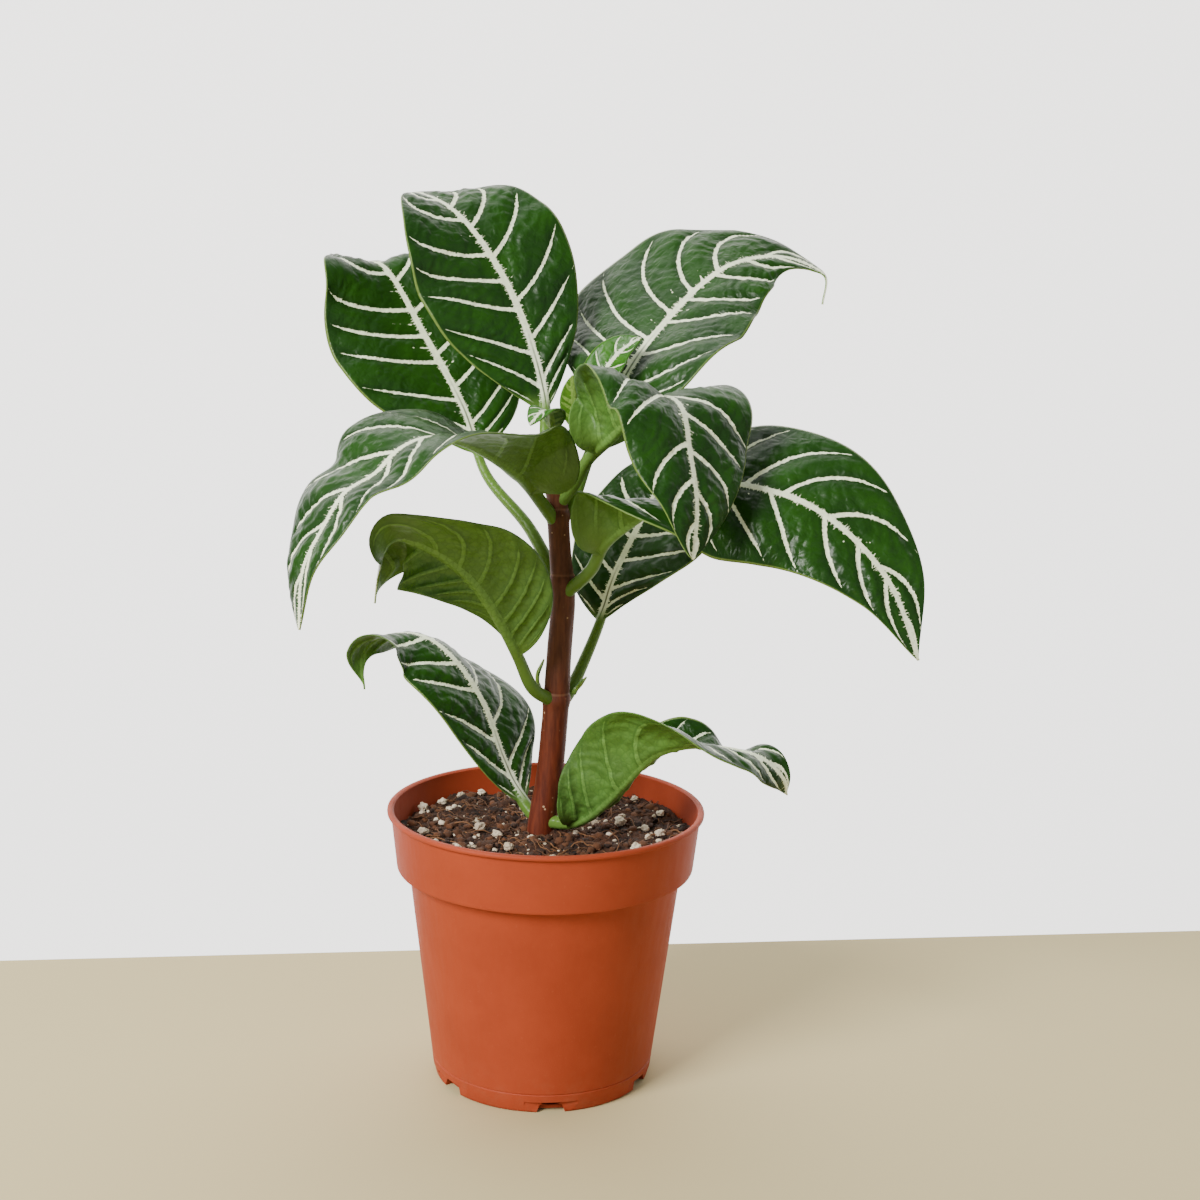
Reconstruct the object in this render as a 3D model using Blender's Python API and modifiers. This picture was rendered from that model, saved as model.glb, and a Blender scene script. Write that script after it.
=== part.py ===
"""Potted zebra plant: one stem with five pairs of striped leaves, in soil in a nursery pot.

Metres, +Z up. The origin is the centre of the pot's underside, and -Y is the front.
Lengths in the tables of shapes are in millimetres and are turned to metres by MM.
"""
import math
import random

import bpy
import bmesh
import numpy as np
from mathutils import Matrix, Vector

MM = 0.001
GAP = 0.3 * MM
MERGE = 0.01 * MM
SHARP_ANGLE = math.radians(40.0)

# Pot
RIM_RADIUS = 52.5 * MM
POT_HEIGHT = 92.0 * MM
LIP_HEIGHT = 1.7 * MM
LIP_PROUD = 1.2 * MM
LIP_SLOPE = 0.5 * MM
EDGE_ROUND = 0.4 * MM
BAND_FOOT_Z = 72.0 * MM
BAND_FOOT_RADIUS = 49.2 * MM
BODY_TOP_RADIUS = 45.3 * MM
BODY_FOOT_RADIUS = 36.8 * MM
BASE_RADIUS = 36.2 * MM
BASE_RING = 3.0 * MM
WALL = 1.1 * MM
FLOOR = 1.6 * MM
POT_STEPS = 60
DRAINS = 6
DRAIN_TURN = math.radians(-85.0)
DRAIN_HEIGHT = 2.8 * MM
DRAIN_HALF_TOP = 3.6 * MM
DRAIN_HALF_FOOT = 5.0 * MM
DRAIN_REACH = 4.0 * MM

# Soil
SOIL_TOP = 83.0 * MM
SOIL_BUMP = 0.48 * MM
SOIL_RIPPLE = 0.288 * MM
SOIL_WAVE_X = 9.0 * MM
SOIL_WAVE_Y = 8.0 * MM
SOIL_WAVE_SHORT = 5.0 * MM
SOIL_SHIFT = 0.7
SOIL_STEPS = 40
BAND_SLOPE = 0.1
SOIL_RINGS = (1.0, 0.86, 0.72, 0.58, 0.44, 0.3, 0.16)
SOIL_PLAY = 2 * GAP
SOIL_FOOT_PLAY = 6 * GAP

# Stem: centre line x, y, z and diameter
STEM = (
    (-3.0, 0.0, 55.0, 9.4),
    (-1.6, 0.0, 84.0, 9.2),
    (0.8, 0.0, 101.0, 8.9),
    (2.1, 0.0, 118.0, 8.6),
    (3.5, 0.0, 145.0, 8.1),
    (4.3, 0.0, 163.0, 7.8),
    (3.3, 0.0, 175.0, 7.2),
    (2.2, 0.0, 190.0, 6.9),
    (1.4, 0.0, 199.0, 6.4),
)
SHOOT = (
    (1.7, -1.0, 199.9, 3.2),
    (2.3, -1.4, 206.0, 3.0),
    (3.5, -2.2, 214.0, 2.8),
)
STEM_POINTS = 26
SHOOT_POINTS = 8
ROD_BEVEL = 4

# Leaf loft
LEAF_STATIONS = 22
LEAF_LANES = (0.0, 0.1, 0.4, 0.7, 1.0)
ROUND_LANES = (0.0, 0.38, 0.71, 0.92, 1.0)
YOUNG_STATIONS = 12
YOUNG_RADIUS = 0.9
BUD_STATIONS = 7
PETIOLE_RADIUS = 2.2
TIP_RADIUS = 0.5
MARGIN_HALF = 0.35
CREASE = 0.15
OPENING_SHARE = 0.08
MARGIN_LANE = 0.999
TANGENT_STEP = 0.01
TIP_LEAST = 0.001
PATH_SAMPLES = 240

# Leaves, from the soil upwards. Each midrib starts inside the stem at its node.
# petiole is the share of the midrib before the blade, and width is that of the whole blade.
# Angles are in degrees: azimuth is the way the leaf points, counted from +X towards +Y,
# roll turns the blade about its midrib, fold lifts a half about the midrib, and curl bends
# it further towards the margin. All are given as (share of the blade's length, angle).
# left and right are as seen from the foot of the leaf, looking at its upper side.
# scale multiplies the width of a half. shape holds how its outline rises, how it falls,
# and the share of the blade over which its tip is drawn in.
LEAVES = {
    "leaf_1_left": dict(
        midrib=((-1, 1, 86), (-5, 5, 88), (-9, 8, 93), (-15, 12, 105), (-22, 18, 122),
                (-32, 22, 136), (-42, 25, 143), (-52, 26, 144), (-60, 24, 141), (-63, 22, 136),
                (-62, 19, 126)),
        petiole=0.08, width=46, azimuth=((0, 135), (1, 135)),
        left=dict(scale=0.9, shape=(0.9, 0.9, 0.1),
                  fold=((0, 10), (0.5, 0), (0.7, -15), (0.85, -15), (1, 30)),
                  curl=((0, -10), (1, -10))),
        right=dict(scale=1.0, shape=(1.0, 1.3, 0.25),
                   fold=((0, 10), (0.3, 0), (0.55, -35), (0.75, -20), (1, 0)),
                   curl=((0, -10), (1, -10))),
    ),
    "leaf_1_right": dict(
        midrib=((0, -1, 87), (8, -6, 88), (14, -11, 92), (20, -16, 99), (25, -20, 106),
                (34, -26, 117), (42, -30, 121), (50, -32, 122), (60, -33, 121), (68, -33, 118),
                (74, -32, 112), (76, -30, 106)),
        petiole=0.09, width=48, azimuth=((0, -45), (0.8, -45), (1, -60)),
        left=dict(scale=0.8, shape=(0.7, 0.55, 0.2),
                  fold=((0, 10), (0.2, -20), (0.6, -45), (0.75, -45), (0.9, 0), (1, 30)),
                  curl=((0, 0), (0.15, 40), (0.3, 160), (0.5, 160), (0.65, 90), (0.75, 20), (1, 0))),
        right=dict(scale=0.9, shape=(0.55, 0.9),
                   fold=((0, 30), (0.2, 70), (0.45, 75), (0.7, 20), (1, 10)),
                   curl=((0, 0), (0.3, 0), (0.5, -30), (0.8, -20), (1, 0))),
    ),
    "leaf_2_left": dict(
        midrib=((1.5, -1, 128), (-5, -8, 134), (-10, -14, 146), (-19, -26, 165), (-25, -32, 174),
                (-35, -38, 183), (-42, -38, 186), (-47, -34, 186), (-51, -30, 182), (-53, -28, 174),
                (-54, -28, 165)),
        petiole=0.22, width=46, azimuth=((0, 225), (0.5, 225), (0.75, 205), (1, 205)),
        roll=((0, -25), (0.4, -40), (0.7, -20), (1, 0)),
        left=dict(scale=0.95, shape=(0.75, 1.4, 0.15), fold=((0, 15), (1, 10)),
                  curl=((0, -10), (1, -10))),
        right=dict(scale=0.7, shape=(1.6, 0.6, 0.12),
                   fold=((0, 10), (0.2, 0), (0.45, -40), (0.7, -60), (0.9, -60), (1, 0)),
                   curl=((0, -10), (1, -10))),
    ),
    "leaf_2_right": dict(
        midrib=((3, 0, 125), (7, 4, 130), (12, 9, 140), (17, 14, 152), (21, 19, 165),
                (30, 27, 183), (38, 34, 197), (47, 40, 209)),
        petiole=0.32, width=50, azimuth=((0, 60), (1, 60)),
        left=dict(scale=0.85, shape=(0.8, 0.9), fold=((0, 10), (1, 10)), curl=((0, -10), (1, -10))),
        right=dict(scale=1.2, shape=(1.1, 0.7), fold=((0, 10), (1, 10)), curl=((0, -10), (1, -10))),
    ),
    "leaf_3_left": dict(
        midrib=((3, 1, 166), (-7, 12, 183), (-22, 26, 199), (-30, 38, 219), (-44, 48, 243),
                (-59, 56, 266), (-67, 64, 267), (-75, 70, 264)),
        petiole=0.37, width=66, azimuth=((0, 105), (1, 105)),
        left=dict(scale=1.0, shape=(0.8, 0.8), fold=((0, 10), (1, 10)), curl=((0, -10), (1, -10))),
        right=dict(scale=1.0, shape=(0.8, 0.8), fold=((0, 10), (1, 10)), curl=((0, -10), (1, -10))),
    ),
    "leaf_3_right": dict(
        midrib=((5, -1, 164), (13, -8, 173), (17, -12, 182), (24, -16, 189), (36, -22, 198),
                (47, -26, 203), (58, -30, 204), (76, -36, 200), (90, -42, 191), (102, -48, 177),
                (110, -56, 156)),
        petiole=0.14, width=56, azimuth=((0, -35), (1, -35)),
        roll=((0, 0), (0.25, -20), (0.5, -35), (0.75, -35), (1, -30)),
        left=dict(scale=1.0, shape=(0.75, 1.15), fold=((0, 10), (1, 10)), curl=((0, -10), (1, -10))),
        right=dict(scale=1.0, shape=(0.4, 0.9),
                   fold=((0, 90), (0.1, 80), (0.3, 10), (0.5, 0), (1, 0)),
                   curl=((0, 0), (0.12, -60), (0.3, -50), (0.6, -20), (1, 0))),
    ),
    "leaf_4_left": dict(
        midrib=((1, -1, 188), (-7, -12, 200), (-11, -20, 205), (-19, -31, 212), (-27, -41, 217),
                (-36, -50, 219), (-44, -56, 216), (-51, -60, 209), (-59, -64, 204), (-65, -68, 194),
                (-70, -71, 183), (-71, -74, 166)),
        petiole=0.12, width=52, azimuth=((0, 222), (0.5, 222), (1, 215)),
        left=dict(scale=0.9, shape=(0.25, 0.9),
                  fold=((0, 55), (0.12, 55), (0.3, 20), (0.5, 10), (1, 10)),
                  curl=((0, -10), (1, -10))),
        right=dict(scale=1.0, shape=(0.6, 0.7),
                   fold=((0, 20), (0.25, 28), (0.5, 18), (0.7, 8), (1, 0)),
                   curl=((0, 0), (0.5, -20), (1, -30))),
    ),
    "leaf_4_right": dict(
        midrib=((3, 0, 187), (7, 3, 194), (12, 8, 208), (25, 15, 236), (38, 27, 252),
                (48, 34, 262), (58, 38, 269), (69, 42, 272), (78, 43, 272), (87, 42, 269),
                (91, 40, 266), (90, 38, 257)),
        petiole=0.25, width=62, azimuth=((0, 75), (0.4, 65), (0.7, 40), (1, 10)),
        roll=((0, 0), (0.5, -10), (0.8, -35), (1, -40)),
        left=dict(scale=1.35, shape=(0.9, 1.7, 0.3), fold=((0, -15), (0.3, -10), (0.6, 0), (1, 0)),
                  curl=((0, -10), (1, -10))),
        right=dict(scale=1.0, shape=(0.6, 1.4, 0.3), fold=((0, 40), (0.4, 15), (0.7, 0), (1, 0)),
                   curl=((0, -10), (1, -10))),
    ),
    "leaf_5_left": dict(
        midrib=((1, 1, 195), (-2, 8, 209), (-3, 17, 226), (-8, 23, 244), (-14, 27, 258),
                (-19, 30, 267), (-26, 33, 277), (-34, 38, 285), (-41, 44, 289), (-48, 52, 291)),
        petiole=0.23, width=60, azimuth=((0, 105), (1, 105)),
        left=dict(scale=1.0, shape=(0.8, 0.8), fold=((0, 10), (1, 10)), curl=((0, -10), (1, -10))),
        right=dict(scale=0.9, shape=(1.15, 0.75), fold=((0, 10), (1, 10)), curl=((0, -10), (1, -10))),
    ),
    "leaf_5_right": dict(
        midrib=((3, -1, 194), (7, -4, 200), (11, -8, 208), (18, -16, 216), (28, -28, 228),
                (34, -36, 231), (38, -44, 228), (40, -52, 217), (42, -60, 202), (41, -66, 187)),
        petiole=0.2, width=52, azimuth=((0, -45), (1, -45)),
        left=dict(scale=1.0, shape=(0.7, 0.95), fold=((0, 10), (1, 10)), curl=((0, -10), (1, -10))),
        right=dict(scale=0.95, shape=(0.4, 0.7),
                   fold=((0, 85), (0.15, 85), (0.32, 75), (0.5, 20), (0.65, 0), (1, 0)),
                   curl=((0, 0), (0.12, -20), (0.25, -60), (0.38, -90), (0.55, -50), (0.75, -30),
                         (1, -10))),
    ),
}


def young(midrib, petiole, width, azimuth, fold):
    """Describe a small leaf whose two halves are alike."""
    half = dict(scale=1.0, shape=(0.75, 0.8), fold=((0, fold), (1, fold)), curl=((0, 0), (1, 0)))
    turn = ((0, azimuth), (1, azimuth))
    return dict(midrib=midrib, petiole=petiole, width=width, azimuth=turn, left=half, right=half,
                radius=YOUNG_RADIUS)


YOUNG_LEAVES = {
    "young_leaf_left": young(
        midrib=((2.5, -2, 209), (0, -7, 217), (-1, -10, 223), (-3, -14, 224), (-7, -18, 220)),
        petiole=0.35, width=12, azimuth=225, fold=10),
    "young_leaf_front": young(
        midrib=((3.5, -2, 210), (6, -5, 218), (7, -7, 226), (6, -9, 235)),
        petiole=0.35, width=10, azimuth=-60, fold=30),
    "young_leaf_right": young(
        midrib=((4, -1, 208), (8, 4, 218), (14, 8, 231), (21, 10, 241), (28, 10, 246)),
        petiole=0.4, width=15, azimuth=60, fold=20),
}
BUD_SCALES = {
    "bud_scale_left": young(
        midrib=((-2.6, 0, 131), (-3.2, -0.2, 133), (-3.6, -0.5, 137), (-1.6, -1, 142)),
        petiole=0.2, width=3.5, azimuth=180, fold=20),
    "bud_scale_right": young(
        midrib=((8.4, 0, 130.5), (9.2, -0.3, 132), (10.6, -1, 133.6), (12.5, -2, 136.5)),
        petiole=0.2, width=3.5, azimuth=-20, fold=20),
}

# Perlite grains: x, y and half size
PERLITE_SEED = 5
PERLITE_SPLITS = 2
PERLITE_UNEVEN = (0.9, 1.08)
PERLITE_NARROW = 0.85
PERLITE_FLAT = 0.7
PERLITE = (
    (-36, 28, 2.0), (-42, 20, 2.2), (-30, 34, 1.6), (-23, 38, 1.9), (-22, -1, 2.4), (-16, -9, 2.1),
    (-12, -22, 2.3), (25, 6, 2.6), (33, 1, 1.8), (38, -4, 2.0), (29, -23, 2.4), (31, 33, 1.7),
    (39, 17, 1.8), (2, -34, 2.5), (-40, -8, 2.3), (-28, -25, 1.9),
)

# Materials
POT_COLOUR = (0.56, 0.14, 0.06)
SOIL_COLOUR = (0.045, 0.022, 0.012)
STEM_COLOUR = (0.16, 0.05, 0.025)
SHOOT_COLOUR = (0.16, 0.30, 0.05)
LEAF_COLOUR = (0.02, 0.09, 0.015)
YOUNG_COLOUR = (0.08, 0.22, 0.03)
PERLITE_COLOUR = (0.80, 0.78, 0.72)
POT_ROUGHNESS = 0.55
SOIL_ROUGHNESS = 0.95
STEM_ROUGHNESS = 0.6
SHOOT_ROUGHNESS = 0.5
LEAF_ROUGHNESS = 0.35
YOUNG_ROUGHNESS = 0.45
PERLITE_ROUGHNESS = 0.9


def remove_all_objects():
    """Empty the scene."""
    for thing in list(bpy.data.objects):
        bpy.data.objects.remove(thing, do_unlink=True)


def new_collection(name):
    """Make a collection in the scene."""
    group = bpy.data.collections.new(name)
    bpy.context.scene.collection.children.link(group)
    return group


def principled(name, colour, roughness):
    """Make a plain Principled material."""
    material = bpy.data.materials.new(name)
    material.use_nodes = True
    shader = material.node_tree.nodes["Principled BSDF"]
    shader.inputs["Base Color"].default_value = (*colour, 1.0)
    shader.inputs["Roughness"].default_value = roughness
    shader.inputs["Metallic"].default_value = 0.0
    return material


def add_object(name, data, group, material=None):
    """Put a mesh or curve in a collection as an object."""
    thing = bpy.data.objects.new(name, data)
    group.objects.link(thing)
    if material:
        data.materials.append(material)
    return thing


def as_cutter(thing):
    """Mark an object as a cutter."""
    thing.hide_render = True
    thing.display_type = "WIRE"
    return thing


def cut(thing, cutter):
    """Take a cutter away from an object."""
    boolean = thing.modifiers.new("cut_" + cutter.name, "BOOLEAN")
    boolean.operation = "DIFFERENCE"
    boolean.solver = "EXACT"
    boolean.object = cutter


def evaluated_mesh(thing):
    """Copy an object's mesh with its modifiers applied."""
    bpy.context.view_layer.update()
    graph = bpy.context.evaluated_depsgraph_get()
    return bpy.data.meshes.new_from_object(thing.evaluated_get(graph))


def turned(name, profile, steps, group, material=None):
    """Turn a profile of (radius, height) pairs about Z, from its outside top downwards."""
    mesh = bpy.data.meshes.new(name)
    points = [(radius, 0.0, height) for radius, height in profile]
    edges = [(i, i + 1) for i in range(len(points) - 1)]
    mesh.from_pydata(points, edges, [])
    thing = add_object(name, mesh, group)
    screw = thing.modifiers.new("turn", "SCREW")
    screw.steps = steps
    screw.render_steps = steps
    screw.use_merge_vertices = True
    screw.merge_threshold = MERGE
    solid = evaluated_mesh(thing)
    thing.modifiers.clear()
    thing.data = solid
    solid.name = name
    if material:
        solid.materials.append(material)
    solid.shade_smooth()
    solid.set_sharp_from_angle(angle=SHARP_ANGLE)
    return thing


def smooth_path(points, samples):
    """Sample a smooth curve through points, evenly in its own parameter (Catmull-Rom)."""
    given = np.array(points, float)
    given = np.vstack([2 * given[0] - given[1], given, 2 * given[-1] - given[-2]])
    steps = np.linalg.norm(np.diff(given[:, :3], axis=0), axis=1) ** 0.5
    knots = np.concatenate([[0.0], np.cumsum(steps)])
    path = []
    for u in np.linspace(knots[1], knots[-2], samples):
        i = min(max(int(np.searchsorted(knots, u, side="right")) - 1, 1), len(given) - 3)
        k0, k1, k2, k3 = knots[i - 1:i + 3]
        p0, p1, p2, p3 = given[i - 1:i + 3]
        a1 = ((k1 - u) * p0 + (u - k0) * p1) / (k1 - k0)
        a2 = ((k2 - u) * p1 + (u - k1) * p2) / (k2 - k1)
        a3 = ((k3 - u) * p2 + (u - k2) * p3) / (k3 - k2)
        b1 = ((k2 - u) * a1 + (u - k0) * a2) / (k2 - k0)
        b2 = ((k3 - u) * a2 + (u - k1) * a3) / (k3 - k1)
        path.append(((k2 - u) * b1 + (u - k1) * b2) / (k2 - k1))
    return np.array(path)


def at_shares(path, shares):
    """Read a path at shares of its length."""
    lengths = np.concatenate([[0.0], np.cumsum(np.linalg.norm(np.diff(path[:, :3], axis=0), axis=1))])
    wanted = np.clip(shares, 0.0, 1.0) * lengths[-1]
    return np.stack([np.interp(wanted, lengths, path[:, k]) for k in range(path.shape[1])], -1)


def eased(stations, t):
    """Read smooth values at t through (share, value) stations."""
    x, v = np.array(stations, float).T
    slope = np.gradient(v, x)
    i = np.clip(np.searchsorted(x, t, side="right") - 1, 0, len(x) - 2)
    span = x[i + 1] - x[i]
    u = np.clip((t - x[i]) / span, 0.0, 1.0)
    start = (2 * u ** 3 - 3 * u ** 2 + 1) * v[i] + (u ** 3 - 2 * u ** 2 + u) * span * slope[i]
    end = (3 * u ** 2 - 2 * u ** 3) * v[i + 1] + (u ** 3 - u ** 2) * span * slope[i + 1]
    return start + end


def outline(t, rise, fall, tip=0.0):
    """Half width of a blade, 1 at its widest, for shares t of its length, drawn in over its tip."""
    t = np.clip(t, 0.0, 1.0)
    widest = rise / (rise + fall)
    width = t ** rise * (1 - t) ** fall / (widest ** rise * (1 - widest) ** fall)
    return width * np.clip((1 - t) / max(tip, TIP_LEAST), 0.0, 1.0)


def leaf_frames(leaf, shares):
    """Points of the midrib with the sideways and upward directions of the blade there."""
    path = smooth_path(leaf["midrib"], PATH_SAMPLES)
    points = at_shares(path, shares)
    along = at_shares(path, shares + TANGENT_STEP) - at_shares(path, shares - TANGENT_STEP)
    along /= np.linalg.norm(along, axis=1)[:, None]
    blade = np.clip((shares - leaf["petiole"]) / (1 - leaf["petiole"]), 0.0, 1.0)
    azimuth = np.radians(eased(leaf["azimuth"], blade))
    level = np.stack([np.sin(azimuth), -np.cos(azimuth), 0 * azimuth], -1)
    side = level - (level * along).sum(1)[:, None] * along
    side /= np.linalg.norm(side, axis=1)[:, None]
    upper = np.cross(side, along)
    roll = np.radians(eased(leaf.get("roll", ((0, 0), (1, 0))), blade))[:, None]
    turned_side = np.cos(roll) * side + np.sin(roll) * upper
    turned_upper = np.cos(roll) * upper - np.sin(roll) * side
    return points, turned_side, turned_upper, blade


def half_lanes(leaf, half, sign, lanes, frames, radius):
    """Upper and lower points of one half of a leaf, lane by lane from midrib to margin."""
    points, side, upper, blade = frames
    width = 0.5 * leaf["width"] * half["scale"] * outline(blade, *half["shape"])
    width = np.maximum(width, radius)
    opened = np.clip(blade / OPENING_SHARE, 0.0, 1.0)
    fold = eased(half["fold"], blade) * opened
    curl = eased(half["curl"], blade) * opened
    centre = points
    previous = np.zeros_like(blade)
    tops = []
    feet = []
    for lane in lanes.T:
        middle = 0.5 * (lane + previous)
        angle = np.radians(fold * np.minimum(1.0, middle / CREASE) + curl * middle)[:, None]
        outward = sign * np.cos(angle) * side + np.sin(angle) * upper
        normal = np.cos(angle) * upper - sign * np.sin(angle) * side
        centre = centre + ((lane - previous) * width)[:, None] * outward
        reach = np.clip(lane * width / radius, 0.0, 1.0)
        thick = MARGIN_HALF + (radius - MARGIN_HALF) * np.sqrt(1 - reach ** 2)
        thick = np.where(lane >= MARGIN_LANE, 0.0, thick)[:, None]
        tops.append(centre + thick * normal)
        feet.append(centre - thick * normal)
        previous = lane
    return tops, feet


def leaf_rings(leaf, stations):
    """Closed sections of a leaf from its foot to its tip, in metres."""
    shares = np.linspace(0.0, 1.0, stations + 1)
    frames = leaf_frames(leaf, shares)
    foot_radius = leaf.get("radius", PETIOLE_RADIUS)
    radius = foot_radius + (min(TIP_RADIUS, foot_radius) - foot_radius) * shares
    half_width = 0.5 * leaf["width"] * outline(frames[3], *leaf["left"]["shape"])
    roundness = np.clip(radius / np.maximum(half_width, radius), 0.0, 1.0)[:, None]
    lanes = roundness * np.array(ROUND_LANES) + (1 - roundness) * np.array(LEAF_LANES)
    right_tops, right_feet = half_lanes(leaf, leaf["right"], 1, lanes, frames, radius)
    left_tops, left_feet = half_lanes(leaf, leaf["left"], -1, lanes, frames, radius)
    ring = left_tops[:0:-1] + right_tops + right_feet[-2::-1] + left_feet[1:-1]
    return np.stack(ring, axis=1) * MM


def loft(name, rings, group, material):
    """Make a closed body through a row of rings with the same number of points."""
    shape = bmesh.new()
    rows = [[shape.verts.new(point) for point in ring] for ring in rings]
    count = len(rows[0])
    for low, high in zip(rows, rows[1:]):
        for i in range(count):
            j = (i + 1) % count
            shape.faces.new((low[i], low[j], high[j], high[i]))
    shape.faces.new(rows[0][::-1])
    shape.faces.new(rows[-1])
    bmesh.ops.triangulate(shape, faces=[face for face in shape.faces if len(face.verts) > 4])
    bmesh.ops.recalc_face_normals(shape, faces=shape.faces)
    mesh = bpy.data.meshes.new(name)
    shape.to_mesh(mesh)
    shape.free()
    mesh.shade_smooth()
    return add_object(name, mesh, group, material)


def rod(name, centre_line, points, group, material=None, extra=0.0):
    """Make a round rod of changing thickness along a centre line, as a closed mesh."""
    path = at_shares(smooth_path(centre_line, PATH_SAMPLES), np.linspace(0.0, 1.0, points))
    curve = bpy.data.curves.new(name + "_line", "CURVE")
    curve.dimensions = "3D"
    curve.bevel_depth = 1.0
    curve.bevel_resolution = ROD_BEVEL
    curve.use_fill_caps = True
    spline = curve.splines.new("POLY")
    spline.points.add(points - 1)
    for point, (x, y, z, diameter) in zip(spline.points, path * MM):
        point.co = (x, y, z, 1.0)
        point.radius = 0.5 * diameter + extra
    line = add_object(name + "_line", curve, group)
    mesh = evaluated_mesh(line)
    shape = bmesh.new()
    shape.from_mesh(mesh)
    bmesh.ops.remove_doubles(shape, verts=shape.verts, dist=MERGE)
    bmesh.ops.recalc_face_normals(shape, faces=shape.faces)
    shape.to_mesh(mesh)
    shape.free()
    mesh.shade_smooth()
    thing = add_object(name, mesh, group, material)
    thing.matrix_world = line.matrix_world
    bpy.data.objects.remove(line)
    return thing


def pot_profile():
    """Section of the pot: down its outside, in under its foot, and up its inside."""
    lip_foot = POT_HEIGHT - LIP_HEIGHT
    band_top = RIM_RADIUS - LIP_PROUD
    return (
        (RIM_RADIUS - EDGE_ROUND, POT_HEIGHT),
        (RIM_RADIUS, POT_HEIGHT - EDGE_ROUND),
        (RIM_RADIUS, lip_foot + LIP_SLOPE),
        (band_top, lip_foot),
        (BAND_FOOT_RADIUS, BAND_FOOT_Z),
        (BODY_TOP_RADIUS, BAND_FOOT_Z),
        (BODY_FOOT_RADIUS, BASE_RING),
        (BASE_RADIUS, BASE_RING - EDGE_ROUND),
        (BASE_RADIUS, EDGE_ROUND),
        (BASE_RADIUS - EDGE_ROUND, 0.0),
        (0.0, 0.0),
        (0.0, FLOOR),
        (BASE_RADIUS - WALL, FLOOR),
        (BODY_FOOT_RADIUS - WALL, BASE_RING),
        (BODY_TOP_RADIUS - WALL, BAND_FOOT_Z + WALL),
        (BAND_FOOT_RADIUS - WALL, BAND_FOOT_Z + WALL),
        (band_top - WALL, lip_foot),
        (band_top - WALL, POT_HEIGHT - EDGE_ROUND),
        (band_top - WALL + EDGE_ROUND, POT_HEIGHT),
        (RIM_RADIUS - EDGE_ROUND, POT_HEIGHT),
    )


def drain_cutter(index, group):
    """A wedge through the foot of the pot's wall, narrower at its top."""
    outline_points = (
        (-DRAIN_HALF_FOOT, -MM), (DRAIN_HALF_FOOT, -MM),
        (DRAIN_HALF_TOP, DRAIN_HEIGHT), (-DRAIN_HALF_TOP, DRAIN_HEIGHT),
    )
    curve = bpy.data.curves.new("drain_outline", "CURVE")
    curve.dimensions = "2D"
    curve.fill_mode = "BOTH"
    curve.extrude = 0.5 * DRAIN_REACH
    spline = curve.splines.new("POLY")
    spline.points.add(len(outline_points) - 1)
    spline.use_cyclic_u = True
    for point, (across, height) in zip(spline.points, outline_points):
        point.co = (across, height, 0.0, 1.0)
    flat = add_object("drain_outline", curve, group)
    mesh = evaluated_mesh(flat)
    bpy.data.objects.remove(flat)
    shape = bmesh.new()
    shape.from_mesh(mesh)
    bmesh.ops.remove_doubles(shape, verts=shape.verts, dist=MERGE)
    bmesh.ops.recalc_face_normals(shape, faces=shape.faces)
    shape.to_mesh(mesh)
    shape.free()
    cutter = as_cutter(add_object(f"drain_{index + 1}", mesh, group))
    turn = DRAIN_TURN + index * math.tau / DRAINS
    upright = Matrix.Rotation(math.radians(90), 4, "X")
    out = Matrix.Translation((0.0, -BASE_RADIUS, 0.0))
    cutter.matrix_world = Matrix.Rotation(turn + math.radians(90), 4, "Z") @ out @ upright
    return cutter


def make_pot(parts, cutters):
    """The pot, with its drain gaps round the foot."""
    pot = turned("pot", pot_profile(), POT_STEPS, parts, principled("pot", POT_COLOUR, POT_ROUGHNESS))
    for index in range(DRAINS):
        cut(pot, drain_cutter(index, cutters))


def soil_height(x, y):
    """Height of the soil's uneven top."""
    long_wave = math.sin(x / SOIL_WAVE_X + SOIL_SHIFT) * math.cos(y / SOIL_WAVE_Y)
    short_wave = math.sin((x + y) / SOIL_WAVE_SHORT)
    return SOIL_TOP + SOIL_BUMP * long_wave + SOIL_RIPPLE * short_wave


def make_soil(parts, stem_space):
    """The soil, filling the pot to just below its rim, with the stem's place cut out."""
    edge = BAND_FOOT_RADIUS - WALL + (SOIL_TOP - BAND_FOOT_Z) * BAND_SLOPE - SOIL_PLAY
    rings = [(share * edge, SOIL_TOP) for share in SOIL_RINGS]
    profile = [(0.0, SOIL_TOP)] + rings[::-1]
    step_z = BAND_FOOT_Z + WALL + SOIL_PLAY
    profile += [
        (BAND_FOOT_RADIUS - WALL - SOIL_PLAY, step_z),
        (BODY_TOP_RADIUS - WALL - SOIL_PLAY, step_z),
        (BODY_FOOT_RADIUS - WALL - SOIL_PLAY, FLOOR + BASE_RING),
        (BASE_RADIUS - WALL - SOIL_FOOT_PLAY, FLOOR + GAP),
        (0.0, FLOOR + GAP),
    ]
    soil = turned("soil", profile, SOIL_STEPS, parts, principled("soil", SOIL_COLOUR, SOIL_ROUGHNESS))
    for vertex in soil.data.vertices:
        if vertex.co.z > SOIL_TOP - MERGE:
            vertex.co.z = soil_height(vertex.co.x, vertex.co.y)
    cut(soil, stem_space)


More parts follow.
